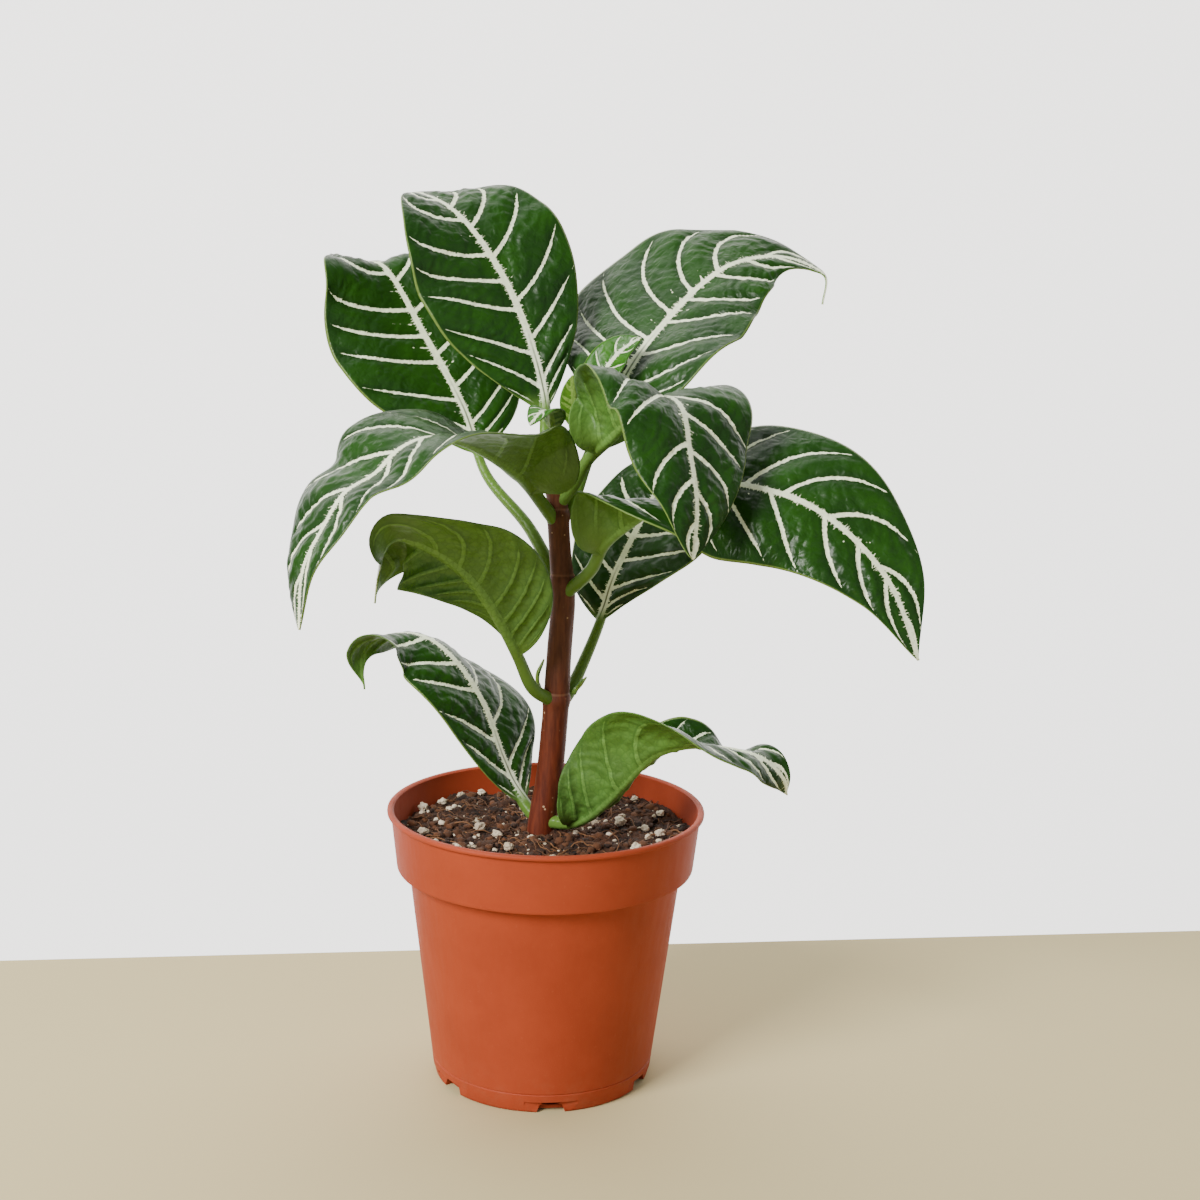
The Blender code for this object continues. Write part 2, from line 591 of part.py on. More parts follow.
def make_perlite(parts):
    """Loose perlite grains lying on the soil."""
    chance = random.Random(PERLITE_SEED)
    material = principled("perlite", PERLITE_COLOUR, PERLITE_ROUGHNESS)
    for index, (x, y, half) in enumerate(PERLITE):
        shape = bmesh.new()
        bmesh.ops.create_icosphere(shape, subdivisions=PERLITE_SPLITS, radius=half * MM)
        for vertex in shape.verts:
            vertex.co *= chance.uniform(*PERLITE_UNEVEN)
            vertex.co.y *= PERLITE_NARROW
            vertex.co.z *= PERLITE_FLAT
        turn = Matrix.Rotation(chance.uniform(0.0, math.tau), 4, "Z")
        bmesh.ops.transform(shape, matrix=turn, verts=shape.verts)
        lift = max(soil_height(x * MM + v.co.x, y * MM + v.co.y) - v.co.z for v in shape.verts)
        mesh = bpy.data.meshes.new(f"perlite_{index + 1:02d}")
        shape.to_mesh(mesh)
        shape.free()
        mesh.shade_smooth()
        grain = add_object(f"perlite_{index + 1:02d}", mesh, parts, material)
        grain.location = Vector((x * MM, y * MM, lift + GAP))


def main():
    """Build the plant in its pot."""
    remove_all_objects()
    parts = new_collection("potted_zebra_plant")
    cutters = new_collection("cutters")
    make_pot(parts, cutters)
    rod("stem", STEM, STEM_POINTS, parts, principled("stem", STEM_COLOUR, STEM_ROUGHNESS))
    rod("shoot", SHOOT, SHOOT_POINTS, parts, principled("shoot", SHOOT_COLOUR, SHOOT_ROUGHNESS))
    stem_space = as_cutter(rod("stem_space", STEM, STEM_POINTS, cutters, extra=GAP))
    shoot_space = as_cutter(rod("shoot_space", SHOOT, SHOOT_POINTS, cutters, extra=GAP))
    make_soil(parts, stem_space)
    leaf_material = principled("leaf", LEAF_COLOUR, LEAF_ROUGHNESS)
    for name, leaf in LEAVES.items():
        cut(loft(name, leaf_rings(leaf, LEAF_STATIONS), parts, leaf_material), stem_space)
    young_material = principled("young_leaf", YOUNG_COLOUR, YOUNG_ROUGHNESS)
    for name, leaf in YOUNG_LEAVES.items():
        cut(loft(name, leaf_rings(leaf, YOUNG_STATIONS), parts, young_material), shoot_space)
    for name, scale in BUD_SCALES.items():
        loft(name, leaf_rings(scale, BUD_STATIONS), parts, young_material)
    make_perlite(parts)


main()
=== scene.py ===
import math
import random

import bpy
import bmesh
import numpy as np
from mathutils import Matrix, Vector, noise


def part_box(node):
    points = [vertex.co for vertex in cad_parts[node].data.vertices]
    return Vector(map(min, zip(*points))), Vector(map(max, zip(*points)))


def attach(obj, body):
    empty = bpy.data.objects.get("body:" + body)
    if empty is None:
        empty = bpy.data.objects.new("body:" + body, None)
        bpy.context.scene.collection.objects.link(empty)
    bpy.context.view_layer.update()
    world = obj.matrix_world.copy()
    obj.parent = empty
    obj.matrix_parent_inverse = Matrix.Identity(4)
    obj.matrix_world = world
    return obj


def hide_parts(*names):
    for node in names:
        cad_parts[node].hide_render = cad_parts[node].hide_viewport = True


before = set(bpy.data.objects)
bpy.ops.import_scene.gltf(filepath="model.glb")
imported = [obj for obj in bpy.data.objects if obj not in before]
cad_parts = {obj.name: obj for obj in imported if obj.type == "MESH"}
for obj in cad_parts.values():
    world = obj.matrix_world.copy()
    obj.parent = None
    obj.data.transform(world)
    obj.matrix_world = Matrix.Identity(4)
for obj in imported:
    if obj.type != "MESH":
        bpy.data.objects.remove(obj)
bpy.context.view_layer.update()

MM = 0.001

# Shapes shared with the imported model, in millimetres
RIM_RADIUS = 52.5
POT_HEIGHT = 92.0
BAND_FOOT_Z = 72.0
BAND_FOOT_RADIUS = 49.2
BODY_TOP_RADIUS = 45.3
BODY_FOOT_RADIUS = 36.8
BASE_RADIUS = 36.2
WALL = 1.1
DRAINS = 6
DRAIN_TURN = math.radians(-85.0)
SOIL_TOP = 83.0

STEM = (
    (-3.0, 0.0, 55.0, 9.4),
    (-1.6, 0.0, 84.0, 9.2),
    (0.8, 0.0, 101.0, 8.9),
    (2.1, 0.0, 118.0, 8.6),
    (3.5, 0.0, 145.0, 8.1),
    (4.3, 0.0, 163.0, 7.8),
    (3.3, 0.0, 175.0, 7.2),
    (2.2, 0.0, 190.0, 6.9),
    (1.4, 0.0, 199.0, 6.4),
)
SHOOT = (
    (1.7, -1.0, 199.9, 3.2),
    (2.3, -1.4, 206.0, 3.0),
    (3.5, -2.2, 214.0, 2.8),
)
STEM_NODES = (128.5, 168.0, 189.5)

PETIOLE_RADIUS = 2.2
TIP_RADIUS = 0.25
MARGIN_HALF = 0.3
CREASE = 0.15
OPENING_SHARE = 0.08
TANGENT_STEP = 0.01
PATH_SAMPLES = 240

LEAVES = {
    "leaf_1_left": dict(
        midrib=((-1, 1, 86), (-5, 5, 88), (-9, 8, 93), (-15, 12, 105), (-22, 18, 122),
                (-32, 22, 136), (-42, 25, 143), (-52, 26, 144), (-60, 24, 141), (-63, 22, 136),
                (-62, 19, 126)),
        petiole=0.08, width=46, azimuth=((0, 135), (1, 135)),
        left=dict(scale=0.9, shape=(0.9, 0.9, 0.1),
                  fold=((0, 10), (0.5, 0), (0.7, -15), (0.85, -15), (1, 30)),
                  curl=((0, -10), (1, -10))),
        right=dict(scale=1.0, shape=(1.0, 1.3, 0.25),
                   fold=((0, 10), (0.3, 0), (0.55, -35), (0.75, -20), (1, 0)),
                   curl=((0, -10), (1, -10))),
    ),
    "leaf_1_right": dict(
        midrib=((0, -1, 87), (8, -6, 88), (14, -11, 92), (20, -16, 99), (25, -20, 106),
                (34, -26, 117), (42, -30, 121), (50, -32, 122), (60, -33, 121), (68, -33, 118),
                (74, -32, 112), (76, -30, 106)),
        petiole=0.09, width=48, azimuth=((0, -45), (0.8, -45), (1, -60)),
        left=dict(scale=0.8, shape=(0.7, 0.55, 0.2),
                  fold=((0, 10), (0.2, -20), (0.6, -45), (0.75, -45), (0.9, 0), (1, 30)),
                  curl=((0, 0), (0.15, 40), (0.3, 160), (0.5, 160), (0.65, 90), (0.75, 20), (1, 0))),
        right=dict(scale=0.9, shape=(0.55, 0.9),
                   fold=((0, 30), (0.2, 70), (0.45, 75), (0.7, 20), (1, 10)),
                   curl=((0, 0), (0.3, 0), (0.5, -30), (0.8, -20), (1, 0))),
    ),
    "leaf_2_left": dict(
        midrib=((1.5, -1, 128), (-5, -8, 134), (-10, -14, 146), (-19, -26, 165), (-25, -32, 174),
                (-35, -38, 183), (-42, -38, 186), (-47, -34, 186), (-51, -30, 182), (-53, -28, 174),
                (-54, -28, 165)),
        petiole=0.22, width=46, azimuth=((0, 225), (0.5, 225), (0.75, 205), (1, 205)),
        roll=((0, -25), (0.4, -40), (0.7, -20), (1, 0)),
        left=dict(scale=0.95, shape=(0.75, 1.4, 0.15), fold=((0, 15), (1, 10)),
                  curl=((0, -10), (1, -10))),
        right=dict(scale=0.7, shape=(1.6, 0.6, 0.12),
                   fold=((0, 10), (0.2, 0), (0.45, -40), (0.7, -60), (0.9, -60), (1, 0)),
                   curl=((0, -10), (1, -10))),
    ),
    "leaf_2_right": dict(
        midrib=((3, 0, 125), (7, 4, 130), (12, 9, 140), (17, 14, 152), (21, 19, 165),
                (30, 27, 183), (38, 34, 197), (47, 40, 209)),
        petiole=0.32, width=50, azimuth=((0, 60), (1, 60)),
        left=dict(scale=0.85, shape=(0.8, 0.9), fold=((0, 10), (1, 10)), curl=((0, -10), (1, -10))),
        right=dict(scale=1.2, shape=(1.1, 0.7), fold=((0, 10), (1, 10)), curl=((0, -10), (1, -10))),
    ),
    "leaf_3_left": dict(
        midrib=((3, 1, 166), (-7, 12, 183), (-22, 26, 199), (-30, 38, 219), (-44, 48, 243),
                (-59, 56, 266), (-67, 64, 267), (-75, 70, 264)),
        petiole=0.37, width=66, azimuth=((0, 105), (1, 105)),
        left=dict(scale=1.0, shape=(0.8, 0.8), fold=((0, 10), (1, 10)), curl=((0, -10), (1, -10))),
        right=dict(scale=1.0, shape=(0.8, 0.8), fold=((0, 10), (1, 10)), curl=((0, -10), (1, -10))),
    ),
    "leaf_3_right": dict(
        midrib=((5, -1, 164), (13, -8, 173), (17, -12, 182), (24, -16, 189), (36, -22, 198),
                (47, -26, 203), (58, -30, 204), (76, -36, 200), (90, -42, 191), (102, -48, 177),
                (110, -56, 156)),
        petiole=0.14, width=56, azimuth=((0, -35), (1, -35)),
        roll=((0, 0), (0.25, -20), (0.5, -35), (0.75, -35), (1, -30)),
        left=dict(scale=1.0, shape=(0.75, 1.15), fold=((0, 10), (1, 10)), curl=((0, -10), (1, -10))),
        right=dict(scale=1.0, shape=(0.4, 0.9),
                   fold=((0, 90), (0.1, 80), (0.3, 10), (0.5, 0), (1, 0)),
                   curl=((0, 0), (0.12, -60), (0.3, -50), (0.6, -20), (1, 0))),
    ),
    "leaf_4_left": dict(
        midrib=((1, -1, 188), (-7, -12, 200), (-11, -20, 205), (-19, -31, 212), (-27, -41, 217),
                (-36, -50, 219), (-44, -56, 216), (-51, -60, 209), (-59, -64, 204), (-65, -68, 194),
                (-70, -71, 183), (-71, -74, 166)),
        petiole=0.12, width=52, azimuth=((0, 222), (0.5, 222), (1, 215)),
        left=dict(scale=0.9, shape=(0.25, 0.9),
                  fold=((0, 55), (0.12, 55), (0.3, 20), (0.5, 10), (1, 10)),
                  curl=((0, -10), (1, -10))),
        right=dict(scale=1.0, shape=(0.6, 0.7),
                   fold=((0, 20), (0.25, 28), (0.5, 18), (0.7, 8), (1, 0)),
                   curl=((0, 0), (0.5, -20), (1, -30))),
    ),
    "leaf_4_right": dict(
        midrib=((3, 0, 187), (7, 3, 194), (12, 8, 208), (25, 15, 236), (38, 27, 252),
                (48, 34, 262), (58, 38, 269), (69, 42, 272), (78, 43, 272), (87, 42, 269),
                (91, 40, 266), (90, 38, 257)),
        petiole=0.25, width=62, azimuth=((0, 75), (0.4, 65), (0.7, 40), (1, 10)),
        roll=((0, 0), (0.5, -10), (0.8, -35), (1, -40)),
        left=dict(scale=1.35, shape=(0.9, 1.7, 0.3), fold=((0, -15), (0.3, -10), (0.6, 0), (1, 0)),
                  curl=((0, -10), (1, -10))),
        right=dict(scale=1.0, shape=(0.6, 1.4, 0.3), fold=((0, 40), (0.4, 15), (0.7, 0), (1, 0)),
                   curl=((0, -10), (1, -10))),
    ),
    "leaf_5_left": dict(
        midrib=((1, 1, 195), (-2, 8, 209), (-3, 17, 226), (-8, 23, 244), (-14, 27, 258),
                (-19, 30, 267), (-26, 33, 277), (-34, 38, 285), (-41, 44, 289), (-48, 52, 291)),
        petiole=0.23, width=60, azimuth=((0, 105), (1, 105)),
        left=dict(scale=1.0, shape=(0.8, 0.8), fold=((0, 10), (1, 10)), curl=((0, -10), (1, -10))),
        right=dict(scale=0.9, shape=(1.15, 0.75), fold=((0, 10), (1, 10)), curl=((0, -10), (1, -10))),
    ),
    "leaf_5_right": dict(
        midrib=((3, -1, 194), (7, -4, 200), (11, -8, 208), (18, -16, 216), (28, -28, 228),
                (34, -36, 231), (38, -44, 228), (40, -52, 217), (42, -60, 202), (41, -66, 187)),
        petiole=0.2, width=52, azimuth=((0, -45), (1, -45)),
        left=dict(scale=1.0, shape=(0.7, 0.95), fold=((0, 10), (1, 10)), curl=((0, -10), (1, -10))),
        right=dict(scale=0.95, shape=(0.4, 0.7),
                   fold=((0, 85), (0.15, 85), (0.32, 75), (0.5, 20), (0.65, 0), (1, 0)),
                   curl=((0, 0), (0.12, -20), (0.25, -60), (0.38, -90), (0.55, -50), (0.75, -30),
                         (1, -10))),
    ),
}


def young(midrib, petiole, width, azimuth, fold):
    """Describe a small leaf whose two halves are alike."""
    half = dict(scale=1.0, shape=(0.75, 0.8), fold=((0, fold), (1, fold)), curl=((0, 0), (1, 0)))
    turn = ((0, azimuth), (1, azimuth))
    return dict(midrib=midrib, petiole=petiole, width=width, azimuth=turn, left=half, right=half,
                radius=0.9)


YOUNG_LEAVES = {
    "young_leaf_left": young(
        ((2.5, -2, 209), (0, -7, 217), (-1, -10, 223), (-3, -14, 224), (-7, -18, 220)), 0.35, 12, 225, 10),
    "young_leaf_front": young(
        ((3.5, -2, 210), (6, -5, 218), (7, -7, 226), (6, -9, 235)), 0.35, 10, -60, 30),
    "young_leaf_right": young(
        ((4, -1, 208), (8, 4, 218), (14, 8, 231), (21, 10, 241), (28, 10, 246)), 0.4, 15, 60, 20),
}
BUD_SCALES = {
    "bud_scale_left": young(
        ((-2.6, 0, 131), (-3.2, -0.2, 133), (-3.6, -0.5, 137), (-1.6, -1, 142)), 0.2, 3.5, 180, 20),
    "bud_scale_right": young(
        ((8.4, 0, 130.5), (9.2, -0.3, 132), (10.6, -1, 133.6), (12.5, -2, 136.5)), 0.2, 3.5, -20, 20),
}
PERLITE_COUNT = 16
TABLE_EDGE_LEFT = -0.190
TABLE_EDGE_RIGHT = 0.404
WALL_Y = 1.2

# Look of the leaves: vein pairs, relief in millimetres
VEIN_PAIRS = dict(leaf_1_left=8.5, leaf_1_right=9, leaf_2_left=12.5, leaf_2_right=8, leaf_3_left=9,
                  leaf_3_right=10, leaf_4_left=9.5, leaf_4_right=10.5, leaf_5_left=9, leaf_5_right=8.5)
RED_FOOT = dict(leaf_4_left=1.0, leaf_3_right=0.9, leaf_2_left=0.25)
RELIEF = 1.1
PUCKER = 0.28
STATIONS = 190
HALF_LANES = 34


# Small geometry helpers

def smooth_path(points, samples):
    """Sample a smooth curve through points (centripetal Catmull-Rom)."""
    given = np.array(points, float)
    given = np.vstack([2 * given[0] - given[1], given, 2 * given[-1] - given[-2]])
    steps = np.linalg.norm(np.diff(given[:, :3], axis=0), axis=1) ** 0.5
    knots = np.concatenate([[0.0], np.cumsum(steps)])
    path = []
    for u in np.linspace(knots[1], knots[-2], samples):
        i = min(max(int(np.searchsorted(knots, u, side="right")) - 1, 1), len(given) - 3)
        k0, k1, k2, k3 = knots[i - 1:i + 3]
        p0, p1, p2, p3 = given[i - 1:i + 3]
        a1 = ((k1 - u) * p0 + (u - k0) * p1) / (k1 - k0)
        a2 = ((k2 - u) * p1 + (u - k1) * p2) / (k2 - k1)
        a3 = ((k3 - u) * p2 + (u - k2) * p3) / (k3 - k2)
        b1 = ((k2 - u) * a1 + (u - k0) * a2) / (k2 - k0)
        b2 = ((k3 - u) * a2 + (u - k1) * a3) / (k3 - k1)
        path.append(((k2 - u) * b1 + (u - k1) * b2) / (k2 - k1))
    return np.array(path)


def path_lengths(path):
    """Running length along a path."""
    return np.concatenate([[0.0], np.cumsum(np.linalg.norm(np.diff(path[:, :3], axis=0), axis=1))])


def at_shares(path, shares):
    """Read a path at shares of its length."""
    lengths = path_lengths(path)
    wanted = np.clip(shares, 0.0, 1.0) * lengths[-1]
    return np.stack([np.interp(wanted, lengths, path[:, k]) for k in range(path.shape[1])], -1)


def eased(stations, t):
    """Read smooth values at t through (share, value) stations."""
    x, v = np.array(stations, float).T
    slope = np.gradient(v, x)
    i = np.clip(np.searchsorted(x, t, side="right") - 1, 0, len(x) - 2)
    span = x[i + 1] - x[i]
    u = np.clip((t - x[i]) / span, 0.0, 1.0)
    start = (2 * u ** 3 - 3 * u ** 2 + 1) * v[i] + (u ** 3 - 2 * u ** 2 + u) * span * slope[i]
    end = (3 * u ** 2 - 2 * u ** 3) * v[i + 1] + (u ** 3 - u ** 2) * span * slope[i + 1]
    return start + end


def smoothstep(low, high, value):
    """0 below low, 1 above high, smooth between."""
    u = np.clip((value - low) / (high - low), 0.0, 1.0)
    return u * u * (3 - 2 * u)


def outline(t, rise, fall, tip=0.0):
    """Half width of a blade, 1 at its widest, for shares t of its length, drawn in over its tip."""
    t = np.clip(t, 0.0, 1.0)
    widest = rise / (rise + fall)
    width = t ** rise * (1 - t) ** fall / (widest ** rise * (1 - widest) ** fall)
    return width * np.clip((1 - t) / max(tip, 0.001), 0.0, 1.0)


def add_mesh(name, points, faces, materials, face_slots=None):
    """Make a smooth mesh object from points in metres."""
    mesh = bpy.data.meshes.new(name)
    mesh.from_pydata(points, [], faces)
    for material in materials:
        mesh.materials.append(material)
    if face_slots is not None:
        mesh.polygons.foreach_set("material_index", np.array(face_slots, np.int32))
    mesh.shade_smooth()
    thing = bpy.data.objects.new(name, mesh)
    bpy.context.scene.collection.objects.link(thing)
    return thing


def set_values(thing, **values):
    """Store one number a point, for the materials."""
    for name, numbers in values.items():
        layer = thing.data.attributes.new(name, "FLOAT", "POINT")
        layer.data.foreach_set("value", np.asarray(numbers, np.float32).ravel())


def signed_volume(points, faces):
    """Six times the volume a closed mesh of quads and triangles holds."""
    total = 0.0
    for face in faces:
        for i in range(1, len(face) - 1):
            total += float(points[face[0]] @ np.cross(points[face[i]], points[face[i + 1]]))
    return total


def place(thing, slot, *nodes):
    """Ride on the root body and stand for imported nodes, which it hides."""
    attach(thing, "root")
    if nodes:
        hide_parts(*nodes)
    return thing


# Node helpers

class Graph:
    """A material's nodes, built by short calls."""

    def __init__(self, name):
        self.material = bpy.data.materials.new(name)
        self.material.use_nodes = True
        self.tree = self.material.node_tree
        self.shader = self.tree.nodes["Principled BSDF"]

    def node(self, kind, inputs=(), **settings):
        made = self.tree.nodes.new("ShaderNode" + kind)
        for key, value in settings.items():
            setattr(made, key, value)
        for key, value in dict(inputs).items():
            self.put(made.inputs[key], value)
        return made

    def put(self, socket, value):
        if isinstance(value, bpy.types.NodeSocket):
            self.tree.links.new(value, socket)
        elif isinstance(value, tuple) and socket.type == "RGBA":
            socket.default_value = (*value, 1.0)[:4]
        else:
            socket.default_value = value

    def math(self, operation, a, b=0.0, c=0.0, clamp=False):
        inputs = {0: a, 1: b, 2: c}
        return self.node("Math", inputs, operation=operation, use_clamp=clamp).outputs[0]

    def value(self, name):
        return self.node("Attribute", attribute_name=name).outputs["Fac"]

    def ramp(self, value, low, high, out_low=0.0, out_high=1.0, smooth=True):
        inputs = {"Value": value, "From Min": low, "From Max": high,
                  "To Min": out_low, "To Max": out_high}
        kind = "SMOOTHSTEP" if smooth else "LINEAR"
        return self.node("MapRange", inputs, interpolation_type=kind).outputs["Result"]

    def mix(self, share, a, b):
        made = self.node("Mix", data_type="RGBA")
        for index, value in ((0, share), (6, a), (7, b)):
            self.put(made.inputs[index], value)
        return made.outputs[2]

    def place(self, x, y, z=0.0):
        return self.node("CombineXYZ", {"X": x, "Y": y, "Z": z}).outputs[0]

    def noise(self, vector, scale, detail=2.0, roughness=0.5):
        inputs = {"Vector": vector, "Scale": scale, "Detail": detail, "Roughness": roughness}
        return self.node("TexNoise", inputs).outputs["Fac"]

    def cells(self, vector, scale, feature="F1"):
        inputs = {"Vector": vector, "Scale": scale}
        return self.node("TexVoronoi", inputs, feature=feature).outputs["Distance"]

    def bump(self, height, distance, strength=1.0, normal=None):
        inputs = {"Height": height, "Distance": distance, "Strength": strength}
        if normal is not None:
            inputs["Normal"] = normal
        return self.node("Bump", inputs).outputs[0]

    def object_place(self):
        return self.node("TexCoord").outputs["Object"]

    def finish(self, **inputs):
        for key, value in inputs.items():
            name = key.replace("_", " ").title().replace("Ior", "IOR")
            self.put(self.shader.inputs[name], value)
        return self.material


# Leaves

def leaf_frames(leaf, shares):
    """Points of the midrib with the sideways and upward directions of the blade there."""
    path = smooth_path(leaf["midrib"], PATH_SAMPLES)
    points = at_shares(path, shares)
    along = at_shares(path, shares + TANGENT_STEP) - at_shares(path, shares - TANGENT_STEP)
    along /= np.linalg.norm(along, axis=1)[:, None]
    blade = np.clip((shares - leaf["petiole"]) / (1 - leaf["petiole"]), 0.0, 1.0)
    azimuth = np.radians(eased(leaf["azimuth"], blade))
    level = np.stack([np.sin(azimuth), -np.cos(azimuth), 0 * azimuth], -1)
    side = level - (level * along).sum(1)[:, None] * along
    side /= np.linalg.norm(side, axis=1)[:, None]
    upper = np.cross(side, along)
    roll = np.radians(eased(leaf.get("roll", ((0, 0), (1, 0))), blade))[:, None]
    turned_side = np.cos(roll) * side + np.sin(roll) * upper
    turned_upper = np.cos(roll) * upper - np.sin(roll) * side
    return points, turned_side, turned_upper, blade, path_lengths(path)[-1]


def vein_phase(blade, lane, pairs, sign):
    """Whole numbers of this lie on the side veins, which sweep towards the tip."""
    sweep = 0.10 * lane + 0.09 * lane ** 2
    start = (blade - sweep + 0.16) / 1.16
    start = np.where(start > 0, np.abs(start) ** 0.88, start)
    warp = 0.18 * np.sin(9.0 * start + 2.1 * sign + pairs) + 0.1 * np.sin(23.0 * start + sign)
    return pairs * start + 0.25 * sign + warp


def pucker(across, along, shift):
    """Uneven dimples a few millimetres wide, between -1 and 1."""
    first = np.sin(0.95 * across + 2.0 * np.sin(0.33 * along + shift))
    second = np.sin(0.80 * along + 1.6 * np.sin(0.45 * across + 2.0 * shift))
    return first * second


def half_blade(leaf, half, sign, lanes, frames, radius, pairs):
    """Upper and lower points of one half, as arrays of station by lane, with its numbers."""
    points, side, upper, blade, length = frames
    width = 0.5 * leaf["width"] * half["scale"] * outline(blade, *half["shape"])
    width = np.maximum(width, radius)
    opened = np.clip(blade / OPENING_SHARE, 0.0, 1.0)
    fold = eased(half["fold"], blade) * opened
    curl = eased(half["curl"], blade) * opened
    flat = smoothstep(0.0, 0.12, blade)
    centre = points
    previous = 0.0
    rows = []
    for lane in lanes:
        middle = 0.5 * (lane + previous)
        angle = np.radians(fold * min(1.0, middle / CREASE) + curl * middle)[:, None]
        outward = sign * np.cos(angle) * side + np.sin(angle) * upper
        normal = np.cos(angle) * upper - sign * np.sin(angle) * side
        centre = centre + ((lane - previous) * width)[:, None] * outward
        reach = np.clip(lane * width / radius, 0.0, 1.0)
        rim = math.sqrt(max(0.0, 1 - max(0.0, (lane - 0.96) / 0.04) ** 2))
        round_part = (radius - MARGIN_HALF) * np.sqrt(1 - reach ** 2)
        top = MARGIN_HALF * rim + round_part * (1 - 0.85 * flat)
        foot = MARGIN_HALF * rim + round_part
        phase = vein_phase(blade, lane, pairs, sign)
        between = 1 - np.abs(2 * (phase - np.floor(phase)) - 1)
        puff = between * (2 - between) - 0.5
        window = smoothstep(0.03, 0.3, lane) * (1 - smoothstep(0.75, 1.0, lane)) * flat
        window = window * smoothstep(2.5, 14.0, width)
        dimple = pucker(sign * lane * width, blade * length, pairs)
        wave = 0.5 * lane ** 3 * np.sin(pairs * 2.6 * blade + 1.7 * sign) * flat
        lift = (RELIEF * puff + PUCKER * dimple) * window + wave * smoothstep(3.0, 16.0, width)
        rows.append(dict(
            top=centre + (lift + top)[:, None] * normal, foot=centre + (lift - foot)[:, None] * normal,
            lane=np.full_like(blade, lane), phase=phase, across=sign * lane * width))
        previous = lane
    return rows


def make_leaf(name, leaf, stations, half_lanes, pairs, seed, materials):
    """One whole leaf as a closed body, with the numbers its material draws veins from."""
    shares = np.linspace(0.0, 1.0, stations + 1)
    frames = leaf_frames(leaf, shares)
    blade, length = frames[3], frames[4]
    foot_radius = leaf.get("radius", PETIOLE_RADIUS)
    radius = foot_radius + (min(TIP_RADIUS, foot_radius) - foot_radius) * shares
    lanes = np.linspace(0.0, 1.0, half_lanes + 1)
    right = half_blade(leaf, leaf["right"], 1, lanes, frames, radius, pairs)
    left = half_blade(leaf, leaf["left"], -1, lanes, frames, radius, pairs)
    order = [(row, "top") for row in left[:0:-1]] + [(row, "top") for row in right]
    order += [(row, "foot") for row in right[-2::-1]] + [(row, "foot") for row in left[1:-1]]
    ring = np.stack([row[key] for row, key in order], axis=1)
    count = ring.shape[1]
    numbers = {key: np.stack([row[key] for row, side in order], axis=1)
               for key in ("lane", "phase", "across")}
    along = np.repeat((shares * length)[:, None], count, axis=1)
    blades = np.repeat(blade[:, None], count, axis=1)
    steps_s = np.gradient(ring, axis=0)
    d_s = np.gradient(numbers["phase"], axis=0) / (np.linalg.norm(steps_s, axis=2) + 1e-6)
    steps_x = np.gradient(ring, axis=1)
    d_x = np.gradient(numbers["phase"], axis=1) / (np.linalg.norm(steps_x, axis=2) + 1e-6)
    d_x[:, [half_lanes, 0, 2 * half_lanes]] = 0
    gap = np.clip(1.0 / (np.hypot(d_s, np.clip(d_x, -0.2, 0.2)) + 1e-6), 1.0, 25.0)
    points = ring.reshape(-1, 3)
    ends = [ring[0].mean(0), ring[-1].mean(0)]
    faces = []
    slots = []
    for s in range(stations):
        for i in range(count):
            j = (i + 1) % count
            faces.append((s * count + i, s * count + j, (s + 1) * count + j, (s + 1) * count + i))
            slots.append(0 if i < 2 * half_lanes else 1)
    first, last = len(points), len(points) + 1
    base = stations * count
    for i in range(count):
        j = (i + 1) % count
        faces += [(i, first, j), (base + j, last, base + i)]
        slots += [1, 0]
    points = np.vstack([points, ends])
    sample = [face for face in faces if len(face) == 4][::7]
    volume = signed_volume(points - points.mean(0), sample)
    if volume < 0:
        faces = [face[::-1] for face in faces]
    thing = add_mesh(name, points * MM, faces, materials, slots)

    def ended(values):
        return np.concatenate([values.ravel(), [values[0].mean(), values[-1].mean()]])

    set_values(thing, vein_phase=ended(numbers["phase"]), vein_gap=ended(gap),
               across_mm=ended(numbers["across"]), along_mm=ended(along), lane=ended(numbers["lane"]),
               blade=ended(blades), seed=np.full(len(points), seed),
               red=np.full(len(points), RED_FOOT.get(name, 0.0)))
    return thing


